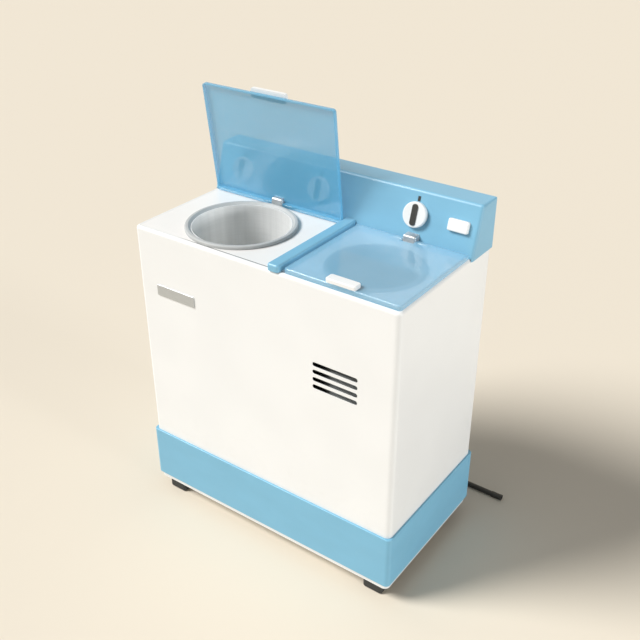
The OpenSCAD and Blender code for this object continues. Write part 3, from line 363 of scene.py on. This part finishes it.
@dataclass(frozen=True)
class Finish:
    """What a surface is made of and how it is finished.

    Attributes:
        name: the material's name.
        colour: its base colour, linear.
        rough: its roughness.
    """

    name: str
    colour: Colour
    rough: float = 0.5

    def paint(self, tree: ShaderTree) -> Mapping[str, object]:
        """Adds the finish's own nodes.

        Args:
            tree: the material's tree.

        Returns:
            Values and links for the Principled shader's sockets.
        """
        return {"Base Color": self.colour, "Roughness": self.rough}

    def toned(
        self, tree: ShaderTree, factor: Number, first: float, second: float
    ) -> bpy.types.NodeSocket:
        """Mixes two tones of the base colour.

        Args:
            tree: the material's tree.
            factor: 0 for the first and 1 for the second.
            first: what the colour is multiplied by for the first tone.
            second: what it is multiplied by for the second.

        Returns:
            The mixed colour.
        """
        return tree.mix(factor, shade(self.colour, first), shade(self.colour, second))

    def material(self) -> bpy.types.Material:
        """Builds the material, once for each finish.

        Returns:
            Blender's material.
        """
        known = bpy.data.materials.get(self.name)
        if known is not None:
            return known
        made = bpy.data.materials.new(self.name)
        made.use_nodes = True
        tree = ShaderTree(made.node_tree)
        shader = tree.node("ShaderNodeBsdfPrincipled", inputs=self.paint(tree))
        tree.node("ShaderNodeOutputMaterial", inputs={"Surface": shader.out()})
        return made


@dataclass(frozen=True)
class Moulding(Finish):
    """Injection moulded plastic: fine spark grain, faint flow marks and smudges.

    Attributes:
        grain: depth of the moulded grain, in metres.
        gloss: weight of the clear top gloss.
        dust: how much pale dust lies in patches.
    """

    grain: float = 0.00003
    gloss: float = 0.15
    dust: float = 0.03

    def paint(self, tree: ShaderTree) -> Mapping[str, object]:
        """Adds grain, flow marks and smudges.

        Args:
            tree: the material's tree.

        Returns:
            Values and links for the Principled shader's sockets.
        """
        upright = tree.stretched((0.6, 0.6, 1.6))
        flow = tree.noise(size=0.09, detail=3.0, roughness=0.55, vector=upright)
        speck = tree.noise(size=0.0011, detail=2.0, roughness=0.6)
        smudge = tree.noise(size=0.045, detail=4.0, roughness=0.6, distortion=0.6)
        settled = tree.noise(size=0.02, detail=5.0, roughness=0.7).band(0.55, 0.85) * self.dust
        colour = self.toned(tree, flow.band(0.3, 0.7), 0.965, 1.025)
        colour = tree.mix(settled, colour, DUST)
        rough = self.rough + smudge.swing(0.12) + speck.swing(0.05)
        return {
            "Base Color": colour,
            "Roughness": rough,
            "Coat Weight": self.gloss,
            "Coat Roughness": 0.12,
            "Normal": tree.bump(speck + tree.noise(size=0.0005, detail=1.0) * 0.5, self.grain),
        }


@dataclass(frozen=True)
class SeamedMoulding(Moulding):
    """Moulded plastic with a painted seam shadow: a dark line along its front edge.

    Attributes:
        seam_y: where its front edge is, in metres.
        seam_shadow_width: how far the painted seam shadow reaches in from the edge, in metres.
        seam_shadow_x: where along the edge the painted seam shadow starts and where it is full,
            in metres.
        seam_shadow_full: the share of the width over which it is full.
        seam_shadow_cover: how much it hides of the plastic.
    """

    seam_y: float = -0.1917
    seam_shadow_width: float = 0.0018
    seam_shadow_x: Tuple[float, float] = (-0.25, -0.17)
    seam_shadow_full: float = 0.6
    seam_shadow_cover: float = 0.95

    def paint(self, tree: ShaderTree) -> Mapping[str, object]:
        """Adds the painted seam shadow to the moulded plastic.

        Args:
            tree: the material's tree.

        Returns:
            Values and links for the Principled shader's sockets.
        """
        made = dict(super().paint(tree))
        # Painted shade: a dark line just inside the front edge where the seam's shadow falls,
        # uneven and only over part of its length.
        inward = tree.along(Axis.Y) - self.seam_y
        beyond = inward.band(self.seam_shadow_width * self.seam_shadow_full, self.seam_shadow_width)
        seam_shadow_patches = tree.noise(size=0.02, detail=3.0, roughness=0.6).band(0.05, 0.35)
        seam_shadow_patches = seam_shadow_patches * tree.along(Axis.X).band(*self.seam_shadow_x)
        cover = (1.0 - beyond) * seam_shadow_patches * self.seam_shadow_cover
        made["Base Color"] = tree.mix(cover, made["Base Color"], SEAM_SHADOW)
        return made


@dataclass(frozen=True)
class Enamel(Finish):
    """Stoved enamel on sheet steel: orange peel, soft waves of the sheet and a clear gloss.

    Attributes:
        peel: depth of the orange peel, in metres.
        gloss: weight of the clear top gloss.
    """

    peel: float = 0.00004
    gloss: float = 0.3

    def paint(self, tree: ShaderTree) -> Mapping[str, object]:
        """Adds orange peel, sheet waves, smudges and faint soiling low down.

        Args:
            tree: the material's tree.

        Returns:
            Values and links for the Principled shader's sockets.
        """
        peel = tree.noise(size=0.0035, detail=2.0, roughness=0.45)
        wave = tree.noise(size=0.16, detail=1.0, roughness=0.4)
        smudge = tree.noise(size=0.05, detail=5.0, roughness=0.62, distortion=0.8)
        low = 1.0 - tree.along(Axis.Z).band(0.19, 0.42)
        soil = tree.noise(size=0.03, detail=5.0, roughness=0.7).band(0.5, 0.8) * low * 0.10
        colour = self.toned(tree, wave.band(0.35, 0.65), 0.985, 1.01)
        colour = tree.mix(soil, colour, SOIL)
        waved = tree.bump(wave, 0.0006)
        return {
            "Base Color": colour,
            "Roughness": self.rough + smudge.swing(0.14),
            "Coat Weight": self.gloss,
            "Coat Roughness": 0.08,
            "Normal": tree.bump(peel, self.peel, waved),
        }


@dataclass(frozen=True)
class TintedSheet(Finish):
    """Translucent tinted lid moulding, with a polished skin and faint smudges.

    Attributes:
        cover: how much each of its faces hides what is behind it.
        glow: the share of the covered light that still comes through, spread by the sheet.
    """

    cover: float = 0.55
    glow: float = 0.65

    def paint(self, tree: ShaderTree) -> Mapping[str, object]:
        """Adds smudges, a fine moulded skin and faint uneven tint.

        Args:
            tree: the material's tree.

        Returns:
            Values and links for the Principled shader's sockets.
        """
        cloud = tree.noise(size=0.12, detail=2.0, roughness=0.5)
        smudge = tree.noise(size=0.04, detail=4.0, roughness=0.6, distortion=0.7)
        skin = tree.noise(size=0.0014, detail=2.0, roughness=0.5)
        colour = self.toned(tree, cloud.band(0.3, 0.7), 0.975, 1.02)
        lit = 1.0 - tree.node("ShaderNodeLightPath").value("Is Shadow Ray") * self.glow
        return {
            "Base Color": colour,
            "Roughness": self.rough + smudge.swing(0.08) + skin.swing(0.03),
            "Alpha": (self.cover + cloud.swing(0.02)) * lit,
            "Coat Weight": 0.5,
            "Coat Roughness": 0.05,
            "Normal": tree.bump(skin, 0.000006),
        }


@dataclass(frozen=True)
class Rubber(Finish):
    """Matt moulded rubber with a fine skin and pale bloom.

    Attributes:
        bloom: how much pale bloom shows.
    """

    bloom: float = 0.25

    def paint(self, tree: ShaderTree) -> Mapping[str, object]:
        """Adds skin texture, bloom and dull patches.

        Args:
            tree: the material's tree.

        Returns:
            Values and links for the Principled shader's sockets.
        """
        skin = tree.noise(size=0.0009, detail=3.0, roughness=0.65)
        patch = tree.noise(size=0.03, detail=5.0, roughness=0.65, distortion=0.5)
        colour = self.toned(tree, patch.band(0.35, 0.75) * self.bloom, 1.0, 1.7)
        return {
            "Base Color": colour,
            "Roughness": self.rough + patch.swing(0.16),
            "Normal": tree.bump(skin, 0.00006),
        }


@dataclass(frozen=True)
class SpunBowl(Finish):
    """Satin metal bowl spun round an upright axis, with fine lines, painted upright sheen streaks
    and water marks.

    Attributes:
        centre: the axis in plan, in metres.
        metal: how metallic it is.
        line: spacing of the turned lines, in metres.
        sheen_streak: how much the painted upright sheen streaks show.
    """

    centre: Tuple[float, float] = (0.0, 0.0)
    metal: float = 0.6
    line: float = 0.0007
    sheen_streak: float = 0.28

    def paint(self, tree: ShaderTree) -> Mapping[str, object]:
        """Adds turned lines, painted upright sheen streaks and water marks.

        Args:
            tree: the material's tree.

        Returns:
            Values and links for the Principled shader's sockets.
        """
        across = tree.along(Axis.X) - self.centre[0]
        deep = tree.along(Axis.Y) - self.centre[1]
        radius = (across * across + deep * deep) ** 0.5
        turn = across.math("ARCTAN2", deep)
        inputs = {0: turn * 0.0006, 1: radius, 2: tree.along(Axis.Z)}
        wrapped = tree.node("ShaderNodeCombineXYZ", inputs=inputs).out()
        inputs = {0: turn * 0.12, 2: tree.along(Axis.Z) * 0.04}
        upright = tree.node("ShaderNodeCombineXYZ", inputs=inputs).out()
        sheen_streaks = tree.noise(size=0.014, detail=2.0, roughness=0.5, vector=upright)
        sheen_streaks = sheen_streaks.band(0.35, 0.65)
        lines = tree.noise(size=self.line, detail=2.0, roughness=0.6, vector=wrapped)
        marks = tree.noise(size=0.035, detail=4.0, roughness=0.6, distortion=1.0)
        colour = self.toned(tree, lines.band(0.25, 0.75), 0.93, 1.05)
        colour = tree.mix(marks.band(0.55, 0.8) * 0.06, colour, WATER_MARK)
        # Painted sheen: dark upright streaks in the base colour stand in for bands of reflection
        # on the wall.
        colour = tree.mix(sheen_streaks * self.sheen_streak, colour, shade(self.colour, 0.72))
        return {
            "Base Color": colour,
            "Metallic": self.metal,
            "Roughness": self.rough + lines.swing(0.06) + marks.swing(0.05),
            "Normal": tree.bump(lines, 0.00002),
        }


@dataclass(frozen=True)
class BrushedPlate(Finish):
    """Bright sheet with a straight brushed grain and dull blotches.

    Attributes:
        grain_along: the axis that the grain runs along.
    """

    grain_along: Axis = Axis.X

    def paint(self, tree: ShaderTree) -> Mapping[str, object]:
        """Adds the brushed grain and dull blotches.

        Args:
            tree: the material's tree.

        Returns:
            Values and links for the Principled shader's sockets.
        """
        scale = tuple(0.02 if axis is self.grain_along else 1.0 for axis in Axis)
        combed = tree.stretched(scale)
        hair = tree.noise(size=0.0006, detail=3.0, roughness=0.6, vector=combed)
        blotch = tree.noise(size=0.02, detail=4.0, roughness=0.6)
        colour = self.toned(tree, hair.band(0.25, 0.75), 0.9, 1.08)
        return {
            "Base Color": colour,
            "Metallic": 0.75,
            "Roughness": self.rough + hair.swing(0.15) + blotch.swing(0.12),
            "Normal": tree.bump(hair, 0.00002),
        }


@dataclass(frozen=True)
class Spangle(Finish):
    """Zinc coated sheet, with crystal spangle and dull white bloom."""

    def paint(self, tree: ShaderTree) -> Mapping[str, object]:
        """Adds the spangle's cells and the bloom.

        Args:
            tree: the material's tree.

        Returns:
            Values and links for the Principled shader's sockets.
        """
        cell = tree.cells(0.012)
        tone = tree.node("ShaderNodeSeparateColor", inputs={0: cell.out("Color")}).value(0)
        bloom = tree.noise(size=0.05, detail=5.0, roughness=0.65).band(0.5, 0.85)
        colour = self.toned(tree, tone, 0.88, 1.08)
        colour = tree.mix(bloom * 0.25, colour, ZINC_BLOOM)
        relief = cell.value("Distance") + tree.noise(size=0.002, detail=2.0) * 0.3
        return {
            "Base Color": colour,
            "Metallic": 0.7,
            "Roughness": self.rough + tone.swing(0.16) + bloom * 0.1,
            "Normal": tree.bump(relief, 0.00003),
        }


@dataclass(frozen=True)
class CastMetal(Finish):
    """Sand or die cast alloy: dull, pitted and slightly uneven.

    Attributes:
        pits: depth of the skin, in metres.
    """

    pits: float = 0.00012

    def paint(self, tree: ShaderTree) -> Mapping[str, object]:
        """Adds the cast skin and tonal patches.

        Args:
            tree: the material's tree.

        Returns:
            Values and links for the Principled shader's sockets.
        """
        skin = tree.noise(size=0.0022, detail=4.0, roughness=0.7)
        tone = tree.noise(size=0.02, detail=4.0, roughness=0.6)
        colour = self.toned(tree, tone.band(0.3, 0.75), 0.86, 1.1)
        return {
            "Base Color": colour,
            "Metallic": 0.65,
            "Roughness": self.rough + tone.swing(0.2),
            "Normal": tree.bump(skin, self.pits),
        }


@dataclass(frozen=True)
class TurnedSteel(Finish):
    """Bright turned steel with fine tool lines and a film of oil."""

    def paint(self, tree: ShaderTree) -> Mapping[str, object]:
        """Adds tool lines and oil.

        Args:
            tree: the material's tree.

        Returns:
            Values and links for the Principled shader's sockets.
        """
        turned = tree.stretched((0.25, 0.25, 1.0))
        tool = tree.noise(size=0.0005, detail=2.0, roughness=0.6, vector=turned)
        oil = tree.noise(size=0.015, detail=4.0, roughness=0.6)
        colour = self.toned(tree, oil.band(0.4, 0.8), 1.0, 0.72)
        return {
            "Base Color": colour,
            "Metallic": 1.0,
            "Roughness": self.rough + tool.swing(0.16) + oil.swing(0.1),
            "Normal": tree.bump(tool, 0.00001),
        }


@dataclass(frozen=True)
class Finishes:
    """Every finish on the machine."""

    white_sheet: Finish = Enamel("enamel_white", (0.80, 0.805, 0.80), 0.34)
    white: Finish = Moulding("moulded_white", (0.80, 0.805, 0.80), 0.36)
    # The deck's finish carries the painted seam shadow along its front edge.
    deck: Finish = SeamedMoulding("moulded_deck_white", (0.82, 0.805, 0.785), 0.34, grain=0.00002)
    blue: Finish = Moulding("moulded_blue", (0.188, 0.432, 0.60), 0.38, grain=0.00002)
    skirt: Finish = Moulding("moulded_skirt_blue", (0.175, 0.430, 0.60), 0.42)
    # Both lids are one tinted plastic: the raised lid's darker colour is painted shade, and the
    # shut lid's paler colour is painted light, standing in for its gloss reflection and the lit
    # deck seen through it.
    open_lid: Finish = TintedSheet(
        "tinted_lid_blue_shaded_copy", (0.144, 0.453, 0.675), 0.22, cover=0.60, glow=0.45
    )
    shut_lid: Finish = TintedSheet("tinted_lid_blue_lit_copy", (0.245, 0.49, 0.66), 0.20, cover=0.55)
    ring: Finish = Rubber("ring_rubber_grey", (0.42, 0.435, 0.435), 0.55, bloom=0.12)
    spin_ring: Finish = Rubber("spin_ring_rubber_grey", (0.25, 0.27, 0.28), 0.55, bloom=0.12)
    tub: Finish = SpunBowl(
        "spun_wash_tub", (0.88, 0.885, 0.875), 0.30, centre=TUB_AXIS, metal=0.25
    )
    basket: Finish = SpunBowl(
        "spun_basket", (0.60, 0.62, 0.61), 0.33, centre=BASKET_AXIS, metal=0.9
    )
    badge: Finish = BrushedPlate("brushed_badge", (0.53, 0.55, 0.56), 0.46)
    hinge: Finish = CastMetal("cast_hinge_grey", (0.50, 0.54, 0.57), 0.42, pits=0.00004)
    black: Finish = Moulding("moulded_black", (0.022, 0.023, 0.022), 0.42, gloss=0.05, dust=0.02)
    foot: Finish = Rubber("foot_rubber", (0.028, 0.029, 0.028), 0.68)
    hose: Finish = Rubber("hose_rubber", (0.018, 0.018, 0.017), 0.5, bloom=0.35)
    zinc: Finish = Spangle("zinc_sheet", (0.56, 0.57, 0.57), 0.42)
    natural: Finish = Moulding("moulded_grey", (0.55, 0.58, 0.57), 0.45, gloss=0.05)
    phenolic: Finish = Moulding("moulded_cream", (0.56, 0.5, 0.36), 0.4, gloss=0.1)
    motor: Finish = Enamel("motor_enamel", (0.07, 0.08, 0.095), 0.45, peel=0.0001, gloss=0.1)
    alloy: Finish = CastMetal("cast_alloy", (0.5, 0.51, 0.52), 0.45)
    steel: Finish = TurnedSteel("turned_steel", (0.58, 0.58, 0.58), 0.28)


def dress(finish: Finish, *nodes: str) -> None:
    """Gives CAD nodes a finish.

    Args:
        finish: the finish.
        nodes: the nodes' names.
    """
    for name in nodes:
        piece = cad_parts[name]
        piece.data.materials.clear()
        piece.data.materials.append(finish.material())
        LOG.info("%s: %s", name, finish.name)


@dataclass
class Camera:
    """The photograph's camera.

    Attributes:
        place: where it stands, in metres.
        azimuth: degrees round from the front.
        elevation: degrees above the horizon.
        lens: focal length, for a 36 mm sensor.
    """

    place: Point = (1.1308, -1.5360, 1.6710)
    azimuth: float = 35.594
    elevation: float = 30.005
    lens: float = 50.0

    def build(self) -> None:
        """Makes the camera and puts it in use."""
        data = bpy.data.cameras.new("camera")
        data.lens = self.lens
        data.sensor_width = SENSOR_WIDTH
        data.clip_end = CAMERA_REACH
        made = bpy.data.objects.new("camera", data)
        a, e = math.radians(self.azimuth), math.radians(self.elevation)
        back = Vector((math.sin(a) * math.cos(e), -math.cos(a) * math.cos(e), math.sin(e)))
        made.location = self.place
        made.rotation_euler = (-back).to_track_quat("-Z", "Y").to_euler()
        bpy.context.scene.collection.objects.link(made)
        bpy.context.scene.camera = made
        LOG.info("camera set")


@dataclass(frozen=True)
class Sun:
    """A sun lamp.

    Attributes:
        name: its name.
        towards: the direction that it stands in.
        strength: its strength.
        softness: its angle, in degrees.
        colour: its colour, linear.
    """

    name: str
    towards: Point
    strength: float
    softness: float
    colour: Colour

    def build(self) -> None:
        """Makes the lamp."""
        data = bpy.data.lights.new(self.name, "SUN")
        data.energy = self.strength
        data.angle = math.radians(self.softness)
        data.color = self.colour
        made = bpy.data.objects.new(self.name, data)
        made.rotation_euler = Vector(self.towards).to_track_quat("Z", "Y").to_euler()
        bpy.context.scene.collection.objects.link(made)


@dataclass
class Studio:
    """Pale floor, soft sun from the left front and a low fill from the right.

    Attributes:
        floor: the floor's colour, linear.
        backdrop: what the camera sees beyond it, linear.
        ambient: strength of the light from all round.
        suns: the lamps.
    """

    floor: Colour = (0.722, 0.653, 0.544)
    backdrop: Colour = (0.888, 0.806, 0.665)
    ambient: float = 0.30
    suns: Sequence[Sun] = (
        Sun("key_sun", (-0.56, -0.465, 0.67), 4.05, 24.0, (1.0, 0.995, 0.985)),
        Sun("right_fill", (1.0, -0.04, 0.09), 1.8, 10.0, (0.95, 0.98, 1.0)),
    )

    def build(self) -> None:
        """Makes the floor, the world and the lamps."""
        self._floor()
        self._world()
        for sun in self.suns:
            sun.build()
        bpy.context.scene.view_settings.view_transform = "Standard"
        LOG.info("studio set")

    def _floor(self) -> None:
        """Makes the floor."""
        half = FLOOR_HALF
        mesh = bpy.data.meshes.new("studio_floor")
        corners = [
            (-half, -half, 0.0), (half, -half, 0.0), (half, half, 0.0), (-half, half, 0.0),
        ]
        mesh.from_pydata(corners, [], [(0, 1, 2, 3)])
        made = bpy.data.objects.new("studio_floor", mesh)
        bpy.context.scene.collection.objects.link(made)
        paint = bpy.data.materials.new("studio_floor")
        paint.use_nodes = True
        tree = ShaderTree(paint.node_tree)
        inputs = {"Base Color": self.floor, "Roughness": 0.95, "Specular IOR Level": 0.1}
        shader = tree.node("ShaderNodeBsdfPrincipled", inputs=inputs)
        tree.node("ShaderNodeOutputMaterial", inputs={"Surface": shader.out()})
        mesh.materials.append(paint)

    def _world(self) -> None:
        """Makes the light from all round; the camera sees the backdrop's colour."""
        world = bpy.data.worlds.new("studio")
        world.use_nodes = True
        bpy.context.scene.world = world
        tree = ShaderTree(world.node_tree)
        seen = tree.node("ShaderNodeLightPath")
        sharp = seen.value("Is Camera Ray")
        for kind in ("Is Transmission Ray", "Is Glossy Ray"):
            sharp = sharp.most(seen.value(kind))
        inputs = {"Color": SKY, "Strength": self.ambient}
        light = tree.node("ShaderNodeBackground", inputs=inputs)
        inputs = {"Color": self.backdrop, "Strength": 1.0}
        back = tree.node("ShaderNodeBackground", inputs=inputs)
        mixed = tree.node("ShaderNodeMixShader", inputs={0: sharp, 1: light.out(), 2: back.out()})
        tree.node("ShaderNodeOutputWorld", inputs={"Surface": mixed.out()})


@dataclass
class DrainHose:
    """Black drain hose from the outlet at the back to its free end on the floor.

    Attributes:
        radius: its radius, in metres.
        route: the points that it follows, in metres.
        steps: curve steps between two points.
    """

    radius: float = 0.007
    steps: int = 3
    route: Sequence[Point] = (
        (-0.300, 0.2075, 0.240), (-0.300, 0.222, 0.240), (-0.300, 0.238, 0.240),
        (-0.300, 0.268, 0.215), (-0.299, 0.293, 0.155), (-0.295, 0.310, 0.085),
        (-0.282, 0.320, 0.036), (-0.250, 0.325, 0.012), (-0.205, 0.325, 0.0076),
        (-0.120, 0.318, 0.0076), (0.000, 0.307, 0.0076), (0.120, 0.299, 0.0076),
        (0.230, 0.296, 0.0076), (0.330, 0.296, 0.0081), (0.410, 0.296, 0.0081),
    )

    def centreline(self) -> Sequence[Vector]:
        """Gives the smooth line through the route.

        Returns:
            Points along it, in metres.
        """
        line = []
        last = len(self.route) - 1
        for i in range(last):
            near = (min(max(j, 0), last) for j in (i - 1, i, i + 1, i + 2))
            p0, p1, p2, p3 = (Vector(self.route[j]) for j in near)
            for k in range(self.steps):
                t = k / self.steps
                line.append(
                    0.5 * (2 * p1 + (p2 - p0) * t + (2 * p0 - 5 * p1 + 4 * p2 - p3) * t * t
                           + (3 * p1 - p0 - 3 * p2 + p3) * t * t * t)
                )
        line.append(Vector(self.route[last]))
        return line

    def build(self, finishes: Finishes) -> None:
        """Args:
            finishes: the machine's finishes.
        """
        line = self.centreline()
        data = bpy.data.curves.new("drain_hose_run", "CURVE")
        data.dimensions = "3D"
        data.bevel_depth = self.radius
        data.bevel_resolution = 5
        data.use_fill_caps = True
        spline = data.splines.new("POLY")
        spline.points.add(len(line) - 1)
        for point, at in zip(spline.points, line):
            point.co = (*at, 1.0)
        spline.use_smooth = True
        hose = bpy.data.objects.new("drain_hose_run", data)
        bpy.context.scene.collection.objects.link(hose)
        data.materials.append(finishes.hose.material())
        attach(hose, "cabinet")
        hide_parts("drain_hose")
        length = sum((b - a).length for a, b in zip(line, line[1:]))
        dress(finishes.hose, "hose_end", "cord_gland")
        LOG.info("drain hose: %.0f mm", length * 1000)


@dataclass
class CabinetShell:
    """Cabinet, base, feet, skirt and what is on them."""

    feet: Sequence[str] = (
        "foot_front_left", "foot_front_right", "foot_rear_left", "foot_rear_right",
    )

    def build(self, finishes: Finishes) -> None:
        """Dresses the cabinet's pieces.

        Args:
            finishes: the machine's finishes.
        """
        dress(finishes.white_sheet, "cabinet_shell")
        dress(finishes.white, "base_pan")
        dress(finishes.skirt, "skirt_band")
        dress(finishes.foot, *self.feet)
        dress(finishes.black, "louvre_insert")
        dress(finishes.badge, "badge_plate")
        dress(finishes.zinc, "back_cover")
        dress(finishes.steel, "back_cover_screws")


@dataclass
class Deck:
    """Deck, divider rib and hinges."""

    def build(self, finishes: Finishes) -> None:
        """Dresses the deck's pieces.

        Args:
            finishes: the machine's finishes.
        """
        dress(finishes.deck, "top_deck")
        dress(finishes.blue, "divider_rib")
        dress(finishes.hinge, "wash_hinge_block", "spin_hinge_block")
        dress(finishes.steel, "hinge_pins")


@dataclass
class ControlPanel:
    """Panel hood, its dials and button, and what is behind them."""

    dials: Sequence[str] = ("wash_timer", "drain_selector", "spin_timer")

    def build(self, finishes: Finishes) -> None:
        """Dresses the panel's pieces.

        Args:
            finishes: the machine's finishes.
        """
        dress(finishes.blue, "control_panel")
        dress(finishes.natural, "panel_rear_cover")
        dress(finishes.black, "panel_marks")
        dress(finishes.phenolic, "timers", "drain_selector", "button_switch")
        dress(finishes.white, "push_button", *(f"{dial}_knob" for dial in self.dials))
        dress(finishes.black, *(f"{dial}_pointer" for dial in self.dials))


@dataclass
class Lids:
    """Both lids with their handles."""

    def build(self, finishes: Finishes) -> None:
        """Dresses the lids.

        Args:
            finishes: the machine's finishes.
        """
        dress(finishes.open_lid, "wash_lid")
        dress(finishes.shut_lid, "spin_lid")
        dress(finishes.white, "wash_lid_handle", "spin_lid_handle")


@dataclass
class WashSide:
    """Wash tub, pulsator and their drive."""

    def build(self, finishes: Finishes) -> None:
        """Dresses the wash side.

        Args:
            finishes: the machine's finishes.
        """
        dress(finishes.tub, "wash_tub")
        dress(finishes.white, "tub_lip")
        dress(finishes.ring, "wash_ring")
        dress(finishes.natural, "overflow_filter")
        dress(finishes.blue, "pulsator")
        dress(finishes.steel, "pulsator_shaft", "motor_pulley")
        dress(finishes.alloy, "bearing_housing", "wash_pulley")
        dress(finishes.foot, "drive_belt")
        dress(finishes.motor, "wash_motor")
        dress(finishes.zinc, "motor_stand")


@dataclass
class SpinSide:
    """Spin case, basket, motor and brake."""

    def build(self, finishes: Finishes) -> None:
        """Dresses the spin side.

        Args:
            finishes: the machine's finishes.
        """
        dress(finishes.natural, "spin_case")
        dress(finishes.spin_ring, "spin_ring")
        dress(finishes.basket, "spin_basket")
        dress(finishes.steel, "spin_shaft")
        dress(finishes.foot, "spin_seal", "spin_motor_mounts")
        dress(finishes.motor, "spin_motor")
        dress(finishes.zinc, "brake_lever")


@dataclass
class Drain:
    """Valve, pipes and control wires."""

    def build(self, finishes: Finishes) -> None:
        """Dresses the drain.

        Args:
            finishes: the machine's finishes.
        """
        dress(finishes.natural, "drain_valve", "water_pipes")
        dress(finishes.foot, "valve_plunger")
        dress(finishes.black, "control_wires")


def main() -> None:
    """Builds the scene in order."""
    logging.basicConfig(level=logging.INFO, format="%(name)s %(message)s")
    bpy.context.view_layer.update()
    Camera().build()
    finishes = Finishes()
    DrainHose().build(finishes)
    for assembly in (CabinetShell, Deck, ControlPanel, Lids, WashSide, SpinSide, Drain):
        assembly().build(finishes)
    Studio().build()
    bpy.context.view_layer.update()


if __name__ == "__main__":
    main()
